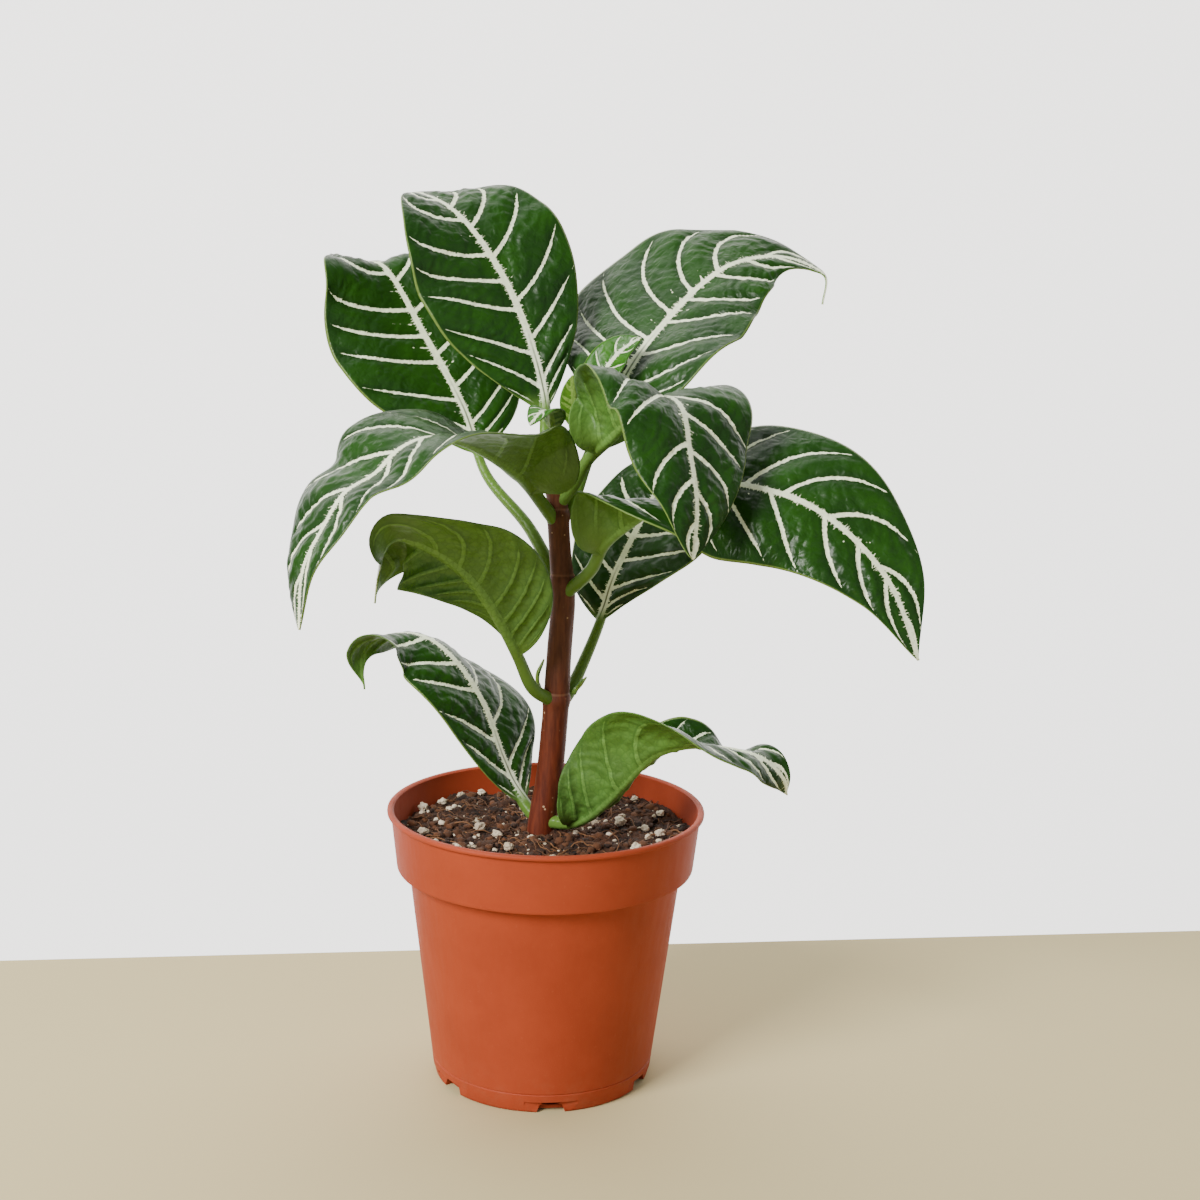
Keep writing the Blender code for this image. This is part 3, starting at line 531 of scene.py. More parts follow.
def vein_masks(graph, side_width, rib_width, jag):
    """Masks of the side veins and the midrib, with ragged edges, and the leaf's own coordinates."""
    across, along = graph.value("across_mm"), graph.value("along_mm")
    shift = graph.math("MULTIPLY", graph.value("seed"), 13.7)
    spot = graph.place(across, along, shift)
    lane, blade = graph.value("lane"), graph.value("blade")
    coarse = graph.math("SUBTRACT", graph.noise(spot, 0.5, 2.0, 0.5), 0.5)
    fine = graph.math("SUBTRACT", graph.noise(spot, 1.3, 3.0, 0.7), 0.5)
    ragged = graph.math("MULTIPLY", fine, jag)
    turn = graph.math("PINGPONG", graph.value("vein_phase"), 0.5)
    away = graph.math("MULTIPLY", turn, graph.value("vein_gap"))
    reach = graph.math("MULTIPLY_ADD", coarse, 0.35, lane)
    width = graph.ramp(reach, 0.0, 0.72, side_width, side_width * 0.72, smooth=False)
    width = graph.math("MULTIPLY", width, graph.ramp(reach, 0.70, 0.93, 1.0, 0.0, smooth=False))
    teeth = graph.math("MULTIPLY", ragged, graph.ramp(width, 0.1, 0.4, 0.0, 2.4))
    side = graph.ramp(graph.math("SUBTRACT", width, graph.math("ADD", away, teeth)), -0.07, 0.07)
    side = graph.math("MULTIPLY", side, graph.ramp(blade, 0.03, 0.06))
    side = graph.math("MULTIPLY", side, graph.ramp(reach, 0.88, 0.93, 1.0, 0.0))
    between = graph.math("PINGPONG", graph.math("ADD", graph.value("vein_phase"), 0.5), 0.5)
    between = graph.math("MULTIPLY_ADD", between, graph.value("vein_gap"), ragged)
    short_end = graph.math("MULTIPLY_ADD", coarse, 1.0, 0.04)
    short = graph.math("MULTIPLY", graph.math("SUBTRACT", short_end, lane), 3.0)
    short = graph.math("MINIMUM", short, side_width * 0.5)
    short = graph.ramp(graph.math("SUBTRACT", short, between), -0.07, 0.07)
    short = graph.math("MULTIPLY", short, graph.ramp(blade, 0.1, 0.2))
    side = graph.math("MAXIMUM", side, short)
    barb_spot = graph.place(graph.math("MULTIPLY", across, 0.25), graph.math("MULTIPLY", along, 2.2),
                            shift)
    barb = graph.ramp(graph.noise(barb_spot, 1.0, 3.0, 0.7), 0.52, 0.72, 0.0, jag * 2.6, smooth=False)
    rib_half = graph.ramp(blade, 0.0, 1.0, rib_width, rib_width * 0.5, smooth=False)
    from_rib = graph.math("SUBTRACT", graph.math("ABSOLUTE", across), barb)
    from_rib = graph.math("MULTIPLY_ADD", fine, jag, from_rib)
    rib = graph.ramp(graph.math("SUBTRACT", rib_half, from_rib), -0.08, 0.08)
    return spot, side, rib, away, lane, blade


def leaf_top_material(name, dark, bright, cream, side_width, rib_width, roughness):
    """Glossy upper side with pale ragged veins, painted shade beside the veins and in the midrib groove."""
    graph = Graph(name)
    spot, side, rib, away, lane, blade = vein_masks(graph, side_width, rib_width, 0.6)
    veins = graph.math("MAXIMUM", side, rib)
    across = graph.math("ABSOLUTE", graph.value("across_mm"))
    # Painted shade: the centre of the midrib is darkened along its groove near the stalk.
    painted_groove_shade = graph.math("MULTIPLY", graph.ramp(across, 0.15, 0.45, 1.0, 0.0),
                        graph.ramp(blade, 0.12, 0.34, 0.8, 0.0))
    cloud = graph.noise(spot, 0.07, 3.0, 0.55)
    green = graph.mix(graph.ramp(cloud, 0.3, 0.75), dark, bright)
    mottle = graph.noise(spot, 0.7, 4.0, 0.6)
    green = graph.mix(graph.math("MULTIPLY", mottle, 0.35), green, bright)
    # Painted shade: the green is darkened beside the sunken side veins.
    painted_vein_shade = graph.ramp(away, 0.9, 2.4, 0.6, 0.0)
    green = graph.mix(painted_vein_shade, green, dark)
    stalk = graph.ramp(blade, 0.0, 0.09, 1.0, 0.0)
    pale = graph.mix(graph.ramp(mottle, 0.3, 0.8), cream, tuple(0.8 * c for c in cream))
    colour = graph.mix(veins, green, pale)
    colour = graph.mix(painted_groove_shade, colour, dark)
    edge = graph.ramp(lane, 0.965, 0.985)
    colour = graph.mix(graph.math("MULTIPLY", edge, 0.55), colour, (0.22, 0.33, 0.08))
    colour = graph.mix(stalk, colour, (0.100, 0.200, 0.030))
    foot = graph.ramp(graph.value("along_mm"), 6.0, 24.0, 1.0, 0.0)
    foot = graph.math("MULTIPLY", foot, graph.value("red"))
    colour = graph.mix(graph.math("MULTIPLY", foot, graph.ramp(mottle, 0.3, 0.6)), colour,
                       (0.20, 0.05, 0.02))
    net = graph.cells(spot, 0.42, "DISTANCE_TO_EDGE")
    net = graph.ramp(net, 0.0, 0.35)
    pores = graph.noise(spot, 1.6, 4.0, 0.65)
    normal = graph.bump(net, 0.00014, 0.6)
    normal = graph.bump(pores, 0.00006, 0.5, normal)
    shine = graph.ramp(pores, 0.25, 0.8, roughness, roughness + 0.16, smooth=False)
    return graph.finish(base_color=colour, roughness=shine, normal=normal, specular_ior_level=0.24)


def leaf_under_material(name, base, painted_groove_shade, rib_colour, roughness):
    """Dull pale underside with raised veins, painted shade in the grooves beside them and along the fine
    net.
    """
    graph = Graph(name)
    spot, side, rib, away, lane, blade = vein_masks(graph, 0.75, 1.8, 0.25)
    cloud = graph.noise(spot, 0.12, 4.0, 0.6)
    colour = graph.mix(graph.ramp(cloud, 0.3, 0.75), base, tuple(0.72 * c for c in base))
    # Painted shade: darker in the grooves beside the raised veins.
    painted_shade_by_veins = graph.ramp(away, 0.5, 1.6, 1.0, 0.0)
    colour = graph.mix(graph.math("MULTIPLY", painted_shade_by_veins, 0.55), colour, painted_groove_shade)
    colour = graph.mix(graph.math("MULTIPLY", side, 0.75), colour, rib_colour)
    colour = graph.mix(graph.math("MULTIPLY", rib, 0.85), colour, rib_colour)
    net = graph.cells(spot, 0.5, "DISTANCE_TO_EDGE")
    # Painted shade: the low edges of the fine net take the groove shade colour.
    painted_net_shade = graph.ramp(net, 0.02, 0.16, 1.0, 0.0)
    colour = graph.mix(graph.math("MULTIPLY", painted_net_shade, 0.3), colour, painted_groove_shade)
    stalk = graph.ramp(blade, 0.0, 0.09, 1.0, 0.0)
    colour = graph.mix(stalk, colour, (0.095, 0.190, 0.030))
    foot = graph.ramp(graph.value("along_mm"), 6.0, 24.0, 1.0, 0.0)
    foot = graph.math("MULTIPLY", foot, graph.value("red"))
    colour = graph.mix(graph.math("MULTIPLY", foot, graph.ramp(cloud, 0.3, 0.6)), colour,
                       (0.20, 0.05, 0.02))
    pores = graph.noise(spot, 1.8, 4.0, 0.65)
    normal = graph.bump(net, 0.00025, 0.7)
    normal = graph.bump(pores, 0.00012, 0.6, normal)
    return graph.finish(base_color=colour, roughness=roughness, normal=normal,
                        specular_ior_level=0.3)


def make_leaves():
    """All the leaves, young leaves and bud scales."""
    # The dark green of each upper side also serves as painted shade beside the veins and in the midrib
    # groove.
    top = leaf_top_material("leaf_top", (0.006, 0.030, 0.0025), (0.013, 0.062, 0.003),
                            (0.88, 0.96, 0.68), 0.72, 1.3, 0.28)
    # The second colour of each underside, here and for the young leaves, is painted shade for its grooves
    # and fine net.
    under = leaf_under_material("leaf_under", (0.080, 0.185, 0.030), (0.030, 0.090, 0.010),
                                (0.13, 0.27, 0.055), 0.5)
    young_top = leaf_top_material("young_leaf_top", (0.018, 0.090, 0.004), (0.045, 0.170, 0.010),
                                  (0.76, 0.84, 0.60), 0.3, 0.95, 0.3)
    young_under = leaf_under_material("young_leaf_under", (0.085, 0.21, 0.012), (0.05, 0.14, 0.010),
                                      (0.25, 0.40, 0.08), 0.45)
    for index, (name, leaf) in enumerate(LEAVES.items()):
        made = make_leaf("fine_" + name, leaf, STATIONS, HALF_LANES, VEIN_PAIRS[name], index + 1.0,
                         (top, under))
        place(made, "leaf", name)
    small = {**YOUNG_LEAVES, **BUD_SCALES}
    for index, (name, leaf) in enumerate(small.items()):
        stations = 60 if name.startswith("young") else 24
        made = make_leaf("fine_" + name, leaf, stations, 10, 6.0, index + 21.0,
                         (young_top, young_under))
        place(made, "young_leaf", name)


# Stem

def round_rod(name, centre_line, rings, sides, bulge, materials):
    """A closed round rod along a centre line, with bulge(z) added to its radius."""
    path = at_shares(smooth_path(centre_line, PATH_SAMPLES), np.linspace(0.0, 1.0, rings))
    along = np.gradient(path[:, :3], axis=0)
    along /= np.linalg.norm(along, axis=1)[:, None]
    first = np.cross(along, [0.0, 1.0, 0.0])
    first /= np.linalg.norm(first, axis=1)[:, None]
    second = np.cross(along, first)
    points = []
    for p, u, v in zip(path, first, second):
        for k in range(sides):
            turn = math.tau * k / sides
            radius = 0.5 * p[3] + bulge(p[2], turn)
            points.append(p[:3] + radius * (math.cos(turn) * u + math.sin(turn) * v))
    faces = [(r * sides + k, r * sides + (k + 1) % sides, (r + 1) * sides + (k + 1) % sides,
              (r + 1) * sides + k) for r in range(rings - 1) for k in range(sides)]
    faces.append(tuple(range(sides))[::-1])
    faces.append(tuple(range((rings - 1) * sides, rings * sides)))
    return add_mesh(name, np.array(points) * MM, faces, materials)


def stem_bulge(z, turn):
    """Swellings at the stem's nodes, a scar line on each, and slight unevenness."""
    lift = 0.06 * math.sin(3 * turn + z / 7) + 0.08 * noise.noise(Vector((turn, z / 6, 2.0)))
    for node_z in STEM_NODES:
        lift += 0.55 * math.exp(-((z - node_z) / 2.2) ** 2)
        lift -= 0.22 * math.exp(-((z - node_z - 2.4 - 0.4 * math.sin(2 * turn)) / 0.4) ** 2)
    lift += 0.45 * math.exp(-((z - 197.5) / 1.6) ** 2)
    return min(lift, 0.6)


def stem_material():
    """Red-brown bark, redder low down, with streaks, specks and pale node lines."""
    graph = Graph("stem_bark")
    spot = graph.object_place()
    z = graph.node("SeparateXYZ", {0: spot}).outputs[2]
    streak_place = graph.node("Mapping", {"Vector": spot, "Scale": (1.0, 1.0, 0.12)}).outputs[0]
    streak = graph.noise(streak_place, 900.0, 4.0, 0.6)
    low = graph.mix(graph.ramp(streak, 0.3, 0.7), (0.080, 0.012, 0.004), (0.150, 0.028, 0.009))
    high = graph.mix(graph.ramp(streak, 0.3, 0.7), (0.070, 0.019, 0.009), (0.125, 0.038, 0.018))
    patch = graph.math("MULTIPLY_ADD", graph.math("SUBTRACT", graph.noise(spot, 60.0, 3.0), 0.5), 0.05, z)
    colour = graph.mix(graph.ramp(patch, 0.105, 0.15), low, high)
    specks = graph.cells(spot, 420.0)
    speck = graph.ramp(specks, 0.12, 0.2, 1.0, 0.0)
    rare = graph.ramp(graph.noise(spot, 130.0, 1.0), 0.56, 0.64)
    colour = graph.mix(graph.math("MULTIPLY", speck, rare), colour, (0.5, 0.33, 0.2))
    for node_z in STEM_NODES:
        line = graph.math("ABSOLUTE", graph.math("SUBTRACT", z, (node_z + 2.2) * MM))
        mask = graph.math("MULTIPLY", graph.ramp(line, 0.0001, 0.0006, 1.0, 0.0), 0.3)
        colour = graph.mix(mask, colour, (0.30, 0.15, 0.08))
    normal = graph.bump(streak, 0.0002, 0.7)
    return graph.finish(base_color=colour, roughness=0.58, normal=normal, specular_ior_level=0.3)


def shoot_material():
    """Fresh green of the top shoot."""
    graph = Graph("shoot_green")
    spot = graph.object_place()
    blotch = graph.noise(spot, 250.0, 3.0)
    colour = graph.mix(graph.ramp(blotch, 0.3, 0.7), (0.15, 0.30, 0.05), (0.22, 0.40, 0.08))
    return graph.finish(base_color=colour, roughness=0.4, normal=graph.bump(blotch, 0.0002, 0.6))


def make_stem():
    """The stem and the shoot at its top."""
    stem = round_rod("fine_stem", STEM, 320, 56, stem_bulge, (stem_material(),))
    place(stem, "stem", "stem")
    shoot = round_rod("fine_shoot", SHOOT, 30, 28, lambda z, turn: 0.0, (shoot_material(),))
    place(shoot, "shoot", "shoot")


# Pot

def pot_profile():
    """Section of the pot in millimetres: down its outside, in under its foot, up its inside."""
    band_top = RIM_RADIUS - 1.2
    ring_z = 6.6
    slope = (BODY_TOP_RADIUS - BODY_FOOT_RADIUS) / (BAND_FOOT_Z - 3.0)
    ring_r = BODY_FOOT_RADIUS + slope * (ring_z - 3.0)
    return (
        (RIM_RADIUS - 0.75, 91.95), (RIM_RADIUS - 0.4, 91.85), (RIM_RADIUS - 0.1, 91.55),
        (RIM_RADIUS, 91.1), (RIM_RADIUS - 0.05, 90.7), (RIM_RADIUS - 0.35, 90.4),
        (band_top - 0.1, 90.2), (band_top - 0.12, 89.8), (BAND_FOOT_RADIUS + 0.1, 73.0),
        (BAND_FOOT_RADIUS + 0.02, 72.5), (BAND_FOOT_RADIUS - 0.15, 72.15),
        (BAND_FOOT_RADIUS - 0.6, 72.0), (BODY_TOP_RADIUS + 0.5, 72.0), (BODY_TOP_RADIUS + 0.1, 71.8),
        (BODY_TOP_RADIUS - 0.05, 71.3), (ring_r + 0.1, ring_z + 0.8), (ring_r + 0.05, ring_z + 0.35),
        (ring_r - 0.22, ring_z + 0.15), (ring_r - 0.25, ring_z - 0.1), (ring_r, ring_z - 0.35),
        (BODY_FOOT_RADIUS + 0.05, 3.2), (BASE_RADIUS + 0.3, 2.2), (BASE_RADIUS, 1.0),
        (BASE_RADIUS - 0.25, 0.3), (BASE_RADIUS - 0.7, 0.0), (BASE_RADIUS - 2.2, 0.0),
        (BASE_RADIUS - 2.6, 0.5), (8.0, 0.5), (0.0, 0.5), (0.0, 1.6), (BASE_RADIUS - WALL, 1.6),
        (BODY_FOOT_RADIUS - WALL, 3.0), (BODY_TOP_RADIUS - WALL, BAND_FOOT_Z + WALL),
        (BAND_FOOT_RADIUS - WALL - 0.4, BAND_FOOT_Z + WALL), (BAND_FOOT_RADIUS - WALL, 73.6),
        (band_top - WALL, 89.5), (band_top - WALL + 0.1, 91.4), (band_top - WALL + 0.5, 91.85),
        (RIM_RADIUS - 1.3, 91.98),
    )


def pot_material():
    """Terracotta-coloured moulded plastic: fine grain, faint flow streaks, scuffs and dust."""
    graph = Graph("pot_plastic")
    spot = graph.object_place()
    grain = graph.noise(spot, 2600.0, 2.0)
    tone = graph.noise(spot, 35.0, 4.0, 0.6)
    colour = graph.mix(graph.ramp(tone, 0.3, 0.75), (0.345, 0.050, 0.017), (0.295, 0.041, 0.013))
    fleck = graph.ramp(graph.noise(spot, 900.0, 3.0, 0.7), 0.62, 0.75)
    colour = graph.mix(graph.math("MULTIPLY", fleck, 0.25), colour, (0.44, 0.09, 0.04))
    z = graph.node("SeparateXYZ", {0: spot}).outputs[2]
    dust = graph.math("MULTIPLY", graph.ramp(z, 0.0, 0.02, 0.1, 0.0),
                      graph.ramp(graph.noise(spot, 160.0, 4.0, 0.7), 0.45, 0.7))
    colour = graph.mix(dust, colour, (0.30, 0.17, 0.10))
    scuff_place = graph.node("Mapping", {"Vector": spot, "Scale": (1.0, 1.0, 0.25)}).outputs[0]
    scuff = graph.noise(scuff_place, 300.0, 5.0, 0.7)
    shine = graph.ramp(scuff, 0.3, 0.75, 0.55, 0.70, smooth=False)
    normal = graph.bump(grain, 0.00006, 0.5)
    return graph.finish(base_color=colour, roughness=shine, normal=normal, specular_ior_level=0.22)


def drain_tool(index):
    """Cutters for one drain: a shallow wide recess and the opening through the wall."""
    tools = []
    turn = DRAIN_TURN + index * math.tau / DRAINS + math.radians(90)
    shapes = (("recess", 9.2, 8.6, 4.0, 0.55), ("hole", 5.0, 3.6, 2.8, 3.0))
    for kind, half_foot, half_top, height, depth in shapes:
        inner, outer = -(BASE_RADIUS + 0.2 - depth), -(BASE_RADIUS + 2.5)
        if kind == "recess":
            inner = -(BASE_RADIUS - 0.6)
        corners = [(-half_foot, -1.0), (half_foot, -1.0), (half_top, height), (-half_top, height)]
        points = [(x, y, z) for y in (inner, outer) for x, z in corners]
        faces = [(3, 2, 1, 0), (4, 5, 6, 7), (1, 5, 4, 0), (2, 6, 5, 1), (3, 7, 6, 2), (0, 4, 7, 3)]
        mesh = bpy.data.meshes.new(f"{kind}_{index}")
        mesh.from_pydata([Vector(p) * MM for p in points], [], faces)
        tool = bpy.data.objects.new(f"{kind}_{index}", mesh)
        bpy.context.scene.collection.objects.link(tool)
        tool.matrix_world = Matrix.Rotation(turn, 4, "Z")
        tools.append(tool)
    return tools


def make_pot():
    """The pot, finely turned, with its six drains cut."""
    profile = pot_profile()
    steps = 240
    ring = [(r, z) for r, z in profile if r > 0]
    points = [(r * math.cos(math.tau * k / steps), r * math.sin(math.tau * k / steps), z)
              for k in range(steps) for r, z in ring]
    count = len(ring)
    centre = [i for i, (r, z) in enumerate(ring) if r == 8.0][0]
    faces = []
    for k in range(steps):
        after = (k + 1) % steps
        for i in range(count):
            j = (i + 1) % count
            if i == centre:
                continue
            faces.append((k * count + i, k * count + j, after * count + j, after * count + i))
    under = tuple(k * count + centre for k in range(steps))
    inside = tuple(k * count + centre + 1 for k in range(steps))
    faces += [under[::-1], inside]
    pot = add_mesh("fine_pot", np.array(points) * MM, faces, (pot_material(),))
    shape = bmesh.new()
    shape.from_mesh(pot.data)
    bmesh.ops.recalc_face_normals(shape, faces=shape.faces)
    shape.to_mesh(pot.data)
    shape.free()
    tools = [tool for index in range(DRAINS) for tool in drain_tool(index)]
    for tool in tools:
        change = pot.modifiers.new("drain", "BOOLEAN")
        change.operation = "DIFFERENCE"
        change.solver = "EXACT"
        change.object = tool
    bpy.context.view_layer.update()
    finished = bpy.data.meshes.new_from_object(
        pot.evaluated_get(bpy.context.evaluated_depsgraph_get()))
    pot.modifiers.clear()
    pot.data = finished
    for tool in tools:
        bpy.data.objects.remove(tool)
    finished.shade_smooth()
    finished.set_sharp_from_angle(angle=math.radians(38))
    place(pot, "pot", "pot")


# Soil

def soil_height(x, y):
    """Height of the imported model's soil, in millimetres."""
    wave = math.sin(x / 9 + 0.7) * math.cos(y / 8) + 0.6 * math.sin((x + y) / 5)
    return SOIL_TOP + 0.48 * wave


def rough_height(x, y):
    """Soil height with clumps and grains."""
    p = Vector((x, y, 0.0))
    clump = noise.fractal(p * 0.12, 1.0, 2.0, 4)
    grain = noise.noise(p * 0.9 + Vector((3, 1, 5)))
    crumb = noise.noise(p * 2.1 + Vector((8, 2, 1)))
    return soil_height(x, y) + 0.4 + 1.6 * clump + 0.7 * grain + 0.5 * crumb


def soil_material():
    """Dark damp peat."""
    graph = Graph("soil_peat")
    spot = graph.object_place()
    clod = graph.noise(spot, 220.0, 5.0, 0.65)
    colour = graph.mix(graph.ramp(clod, 0.3, 0.7), (0.010, 0.003, 0.001), (0.070, 0.022, 0.006))
    fibre = graph.ramp(graph.noise(spot, 1100.0, 4.0, 0.7), 0.58, 0.72)
    colour = graph.mix(graph.math("MULTIPLY", fibre, 0.6), colour, (0.17, 0.065, 0.022))
    normal = graph.bump(clod, 0.0012, 0.8)
    normal = graph.bump(graph.noise(spot, 1500.0, 4.0, 0.7), 0.0005, 0.8, normal)
    return graph.finish(base_color=colour, roughness=0.92, normal=normal)


def tone_material(name, dark, pale, roughness, bump_scale, bump_depth):
    """Material whose colour runs from dark to pale with the stored tone."""
    graph = Graph(name)
    spot = graph.object_place()
    rough = graph.noise(spot, bump_scale, 5.0, 0.65)
    share = graph.math("MULTIPLY_ADD", graph.math("SUBTRACT", rough, 0.5), 0.8, graph.value("tone"))
    colour = graph.mix(graph.ramp(share, 0.0, 1.0, smooth=False), dark, pale)
    return graph.finish(base_color=colour, roughness=roughness,
                        normal=graph.bump(rough, bump_depth, 0.9))


def lump(chance, size, subdivisions, roughness=0.3):
    """Points and faces of an irregular lump about the origin, size in millimetres."""
    shape = bmesh.new()
    bmesh.ops.create_icosphere(shape, subdivisions=subdivisions, radius=1.0)
    offset = Vector([chance.uniform(-50, 50) for _ in range(3)])
    stretch = Vector((1.0, chance.uniform(0.6, 1.0), chance.uniform(0.5, 0.85)))
    turn = Matrix.Rotation(chance.uniform(0, math.tau), 3, "Z")
    points = []
    for vertex in shape.verts:
        push = 1.0 + roughness * noise.noise(vertex.co * 1.3 + offset)
        push += 0.6 * roughness * noise.noise(vertex.co * 3.5 + offset)
        point = vertex.co * push
        points.append(turn @ Vector((point.x * stretch.x, point.y * stretch.y, point.z * stretch.z)) * size)
    faces = [tuple(v.index for v in face.verts) for face in shape.faces]
    shape.free()
    return points, faces


def strew(name, count, sizes, subdivisions, material, seed, sunk, tones):
    """One object of many lumps lying on the soil, clear of the stem."""
    chance = random.Random(seed)
    points, faces, tone = [], [], []
    for _ in range(count):
        reach = 46.5 * math.sqrt(chance.random())
        turn = chance.uniform(0, math.tau)
        x, y = reach * math.cos(turn), reach * math.sin(turn)
        if math.hypot(x + 1.6, y) < 5.6:
            continue
        size = sizes[0] + (sizes[1] - sizes[0]) * chance.random() ** 2.5
        made, sides = lump(chance, size, subdivisions, 0.45)
        z = rough_height(x, y) + size * sunk
        start = len(points)
        points += [p + Vector((x, y, z)) for p in made]
        faces += [tuple(start + i for i in side) for side in sides]
        tone += [chance.uniform(*tones)] * len(made)
    thing = add_mesh(name, np.array(points) * MM, faces, (material,))
    set_values(thing, tone=tone)
    return thing


def make_fibres(material):
    """Thin bits of root and moss lying over the soil."""
    chance = random.Random(31)
    points, faces, tone = [], [], []
    sides = 5
    for _ in range(230):
        reach = 45.0 * math.sqrt(chance.random())
        turn = chance.uniform(0, math.tau)
        x, y = reach * math.cos(turn), reach * math.sin(turn)
        if math.hypot(x + 1.6, y) < 6.5:
            continue
        heading = chance.uniform(0, math.tau)
        bend = chance.uniform(-0.35, 0.35)
        step = chance.uniform(0.6, 1.5)
        thick = chance.uniform(0.1, 0.28)
        hop = chance.uniform(0.2, 1.6)
        count = 10
        start = len(points)
        shade = chance.uniform(0.2, 1.0)
        for k in range(count):
            z = rough_height(x, y) + 0.15 + hop * math.sin(math.pi * k / (count - 1))
            radius = thick * (1 - 0.8 * abs(2 * k / (count - 1) - 1) ** 3)
            across = Vector((-math.sin(heading), math.cos(heading), 0.0))
            for s in range(sides):
                a = math.tau * s / sides
                points.append(Vector((x, y, z)) + across * (radius * math.cos(a))
                              + Vector((0, 0, radius * math.sin(a))))
            heading += bend + chance.uniform(-0.2, 0.2)
            x += step * math.cos(heading)
            y += step * math.sin(heading)
            if math.hypot(x, y) > 46.5:
                heading += 2.0
        for k in range(count - 1):
            for s in range(sides):
                n = (s + 1) % sides
                faces.append((start + k * sides + s, start + k * sides + n,
                              start + (k + 1) * sides + n, start + (k + 1) * sides + s))
        faces.append(tuple(start + s for s in range(sides))[::-1])
        faces.append(tuple(start + (count - 1) * sides + s for s in range(sides)))
        tone += [shade] * (count * sides)
    thing = add_mesh("soil_fibres", np.array(points) * MM, faces, (material,))
    set_values(thing, tone=tone)
    return thing


def make_soil():
    """Peat surface with clods, fibres and perlite."""
    edge = BAND_FOOT_RADIUS - WALL + (SOIL_TOP - BAND_FOOT_Z) * 0.1 - 0.6
    turns, rings = 320, 130
    points = []
    for r in range(1, rings + 1):
        reach = edge * r / rings
        for k in range(turns):
            a = math.tau * k / turns
            x, y = reach * math.cos(a), reach * math.sin(a)
            points.append((x, y, rough_height(x, y)))
    top = len(points)
    points += [(edge * math.cos(math.tau * k / turns), edge * math.sin(math.tau * k / turns), 74.0)
               for k in range(turns)]
    points += [(0.0, 0.0, rough_height(0, 0)), (0.0, 0.0, 74.0)]
    faces = []
    for r in range(rings):
        for k in range(turns):
            n = (k + 1) % turns
            faces.append((r * turns + k, (r + 1) * turns + k, (r + 1) * turns + n, r * turns + n))
    for k in range(turns):
        n = (k + 1) % turns
        faces.append((len(points) - 2, k, n))
        faces.append((top + n, top + k, len(points) - 1))
    soil = add_mesh("fine_soil", np.array(points) * MM, faces, (soil_material(),))
    place(soil, "soil", "soil")
    peat = tone_material("soil_crumb", (0.012, 0.004, 0.0015), (0.125, 0.043, 0.013), 0.9, 700.0, 0.0006)
    place(strew("soil_crumbs", 1500, (0.3, 1.9), 2, peat, 17, 0.1, (0.0, 0.9)), "soil")
    straw = tone_material("soil_fibre", (0.03, 0.010, 0.003), (0.20, 0.085, 0.030), 0.8, 900.0, 0.0002)
    place(make_fibres(straw), "soil")
    white = tone_material("perlite_white", (0.26, 0.17, 0.09), (0.70, 0.60, 0.46), 0.85, 1000.0, 0.0006)
    place(strew("perlite_bits", 230, (0.3, 1.6), 2, white, 23, 0.1, (0.4, 1.2)), "perlite")
    chance = random.Random(41)
    for index in range(PERLITE_COUNT):
        name = f"perlite_{index + 1:02d}"
        low, high = (Vector(corner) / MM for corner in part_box(name))
        centre, size = (low + high) / 2, (high - low) / 2
        made, sides = lump(chance, 1.0, 4, 0.5)
        reach = [max(abs(p[k]) for p in made) for k in range(3)]
        scaled = [centre + Vector([p[k] / reach[k] * size[k] for k in range(3)]) for p in made]
        grain = add_mesh("fine_" + name, np.array(scaled) * MM, sides, (white,))
        set_values(grain, tone=[chance.uniform(0.5, 1.1)] * len(scaled))
        place(grain, "perlite", name)


# Studio

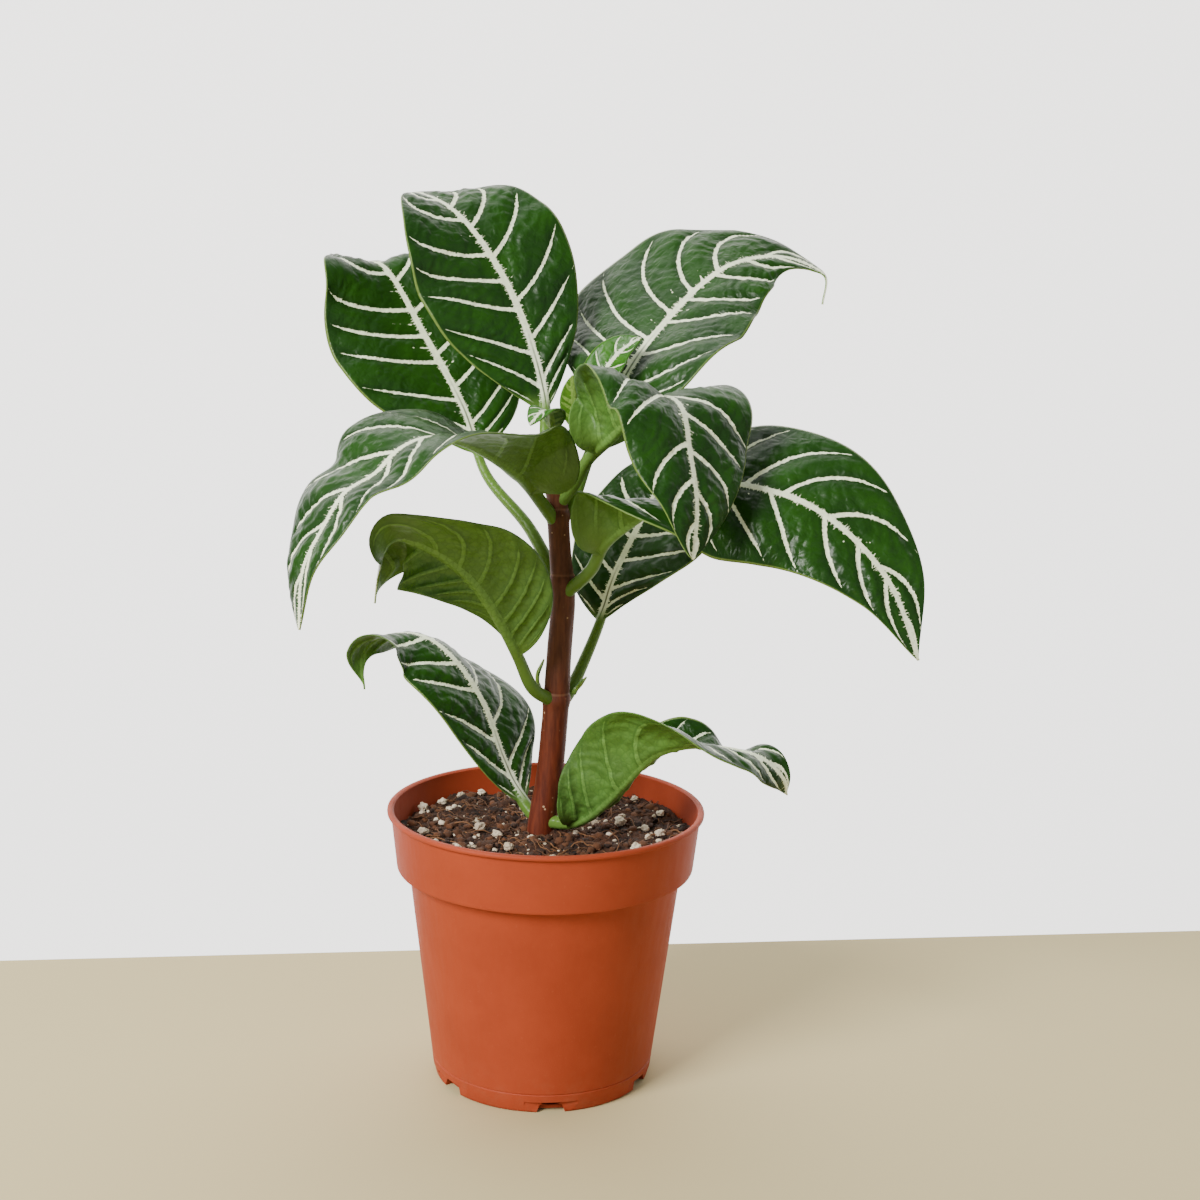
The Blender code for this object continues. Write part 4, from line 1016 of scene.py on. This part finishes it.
def make_studio():
    """Pale table with its back edge just behind the pot, pale wall and soft light from the left."""
    table = Graph("table")
    table.finish(base_color=(0.54, 0.45, 0.235), roughness=0.85)
    wall = Graph("wall")
    wall.finish(base_color=(0.80, 0.785, 0.765), roughness=0.9, emission_color=(1.0, 0.985, 0.965),
                emission_strength=2.3)
    floor = add_mesh("floor", [(-3, -2, 0), (3, -2, 0), (3, TABLE_EDGE_RIGHT, 0),
                              (-3, TABLE_EDGE_LEFT, 0)],
                     [(0, 1, 2, 3)], (table.material,))
    back = add_mesh("backdrop", [(-3, WALL_Y, -1.5), (3, WALL_Y, -1.5), (3, WALL_Y, 3), (-3, WALL_Y, 3)],
                    [(0, 1, 2, 3)], (wall.material,))
    world = bpy.data.worlds.new("studio")
    world.use_nodes = True
    world.node_tree.nodes["Background"].inputs[0].default_value = (0.97, 0.98, 1.0, 1.0)
    world.node_tree.nodes["Background"].inputs[1].default_value = 0.22
    bpy.context.scene.world = world
    for name, spot, size, power, colour in (
            ("key", (-0.85, -0.95, 0.95), 0.6, 42.0, (1.0, 0.985, 0.955)),
            ("fill", (0.9, -0.9, 0.5), 1.2, 2.0, (0.97, 0.98, 1.0)),
            ("top", (-0.3, 0.2, 1.3), 0.7, 3.0, (1.0, 1.0, 1.0))):
        data = bpy.data.lights.new(name, "AREA")
        data.size = size
        data.energy = power
        data.color = colour
        lamp = bpy.data.objects.new(name, data)
        lamp.location = spot
        aim = Vector((0, 0, 0.15)) - Vector(spot)
        lamp.rotation_euler = aim.to_track_quat("-Z", "Y").to_euler()
        bpy.context.scene.collection.objects.link(lamp)


def make_camera():
    """Camera where the photograph was taken from."""
    pitch, yaw, roll = 0.1918, 0.0275, 0.0223
    forward = Vector((math.sin(yaw) * math.cos(pitch), math.cos(yaw) * math.cos(pitch),
                      -math.sin(pitch)))
    level = Vector((math.cos(yaw), -math.sin(yaw), 0.0))
    lifted = level.cross(forward)
    right = math.cos(roll) * level + math.sin(roll) * lifted
    up = -math.sin(roll) * level + math.cos(roll) * lifted
    data = bpy.data.cameras.new("camera")
    data.sensor_width = 36.0
    data.lens = 36.0 * 1862.0 / 1200.0
    data.clip_start = 0.01
    data.clip_end = 20.0
    camera = bpy.data.objects.new("camera", data)
    bpy.context.scene.collection.objects.link(camera)
    columns = Matrix((right, up, -forward)).transposed().to_4x4()
    camera.matrix_world = Matrix.Translation((0.0, -0.594, 0.2772)) @ columns
    bpy.context.scene.camera = camera


make_leaves()
make_stem()
make_pot()
make_soil()
make_studio()
make_camera()
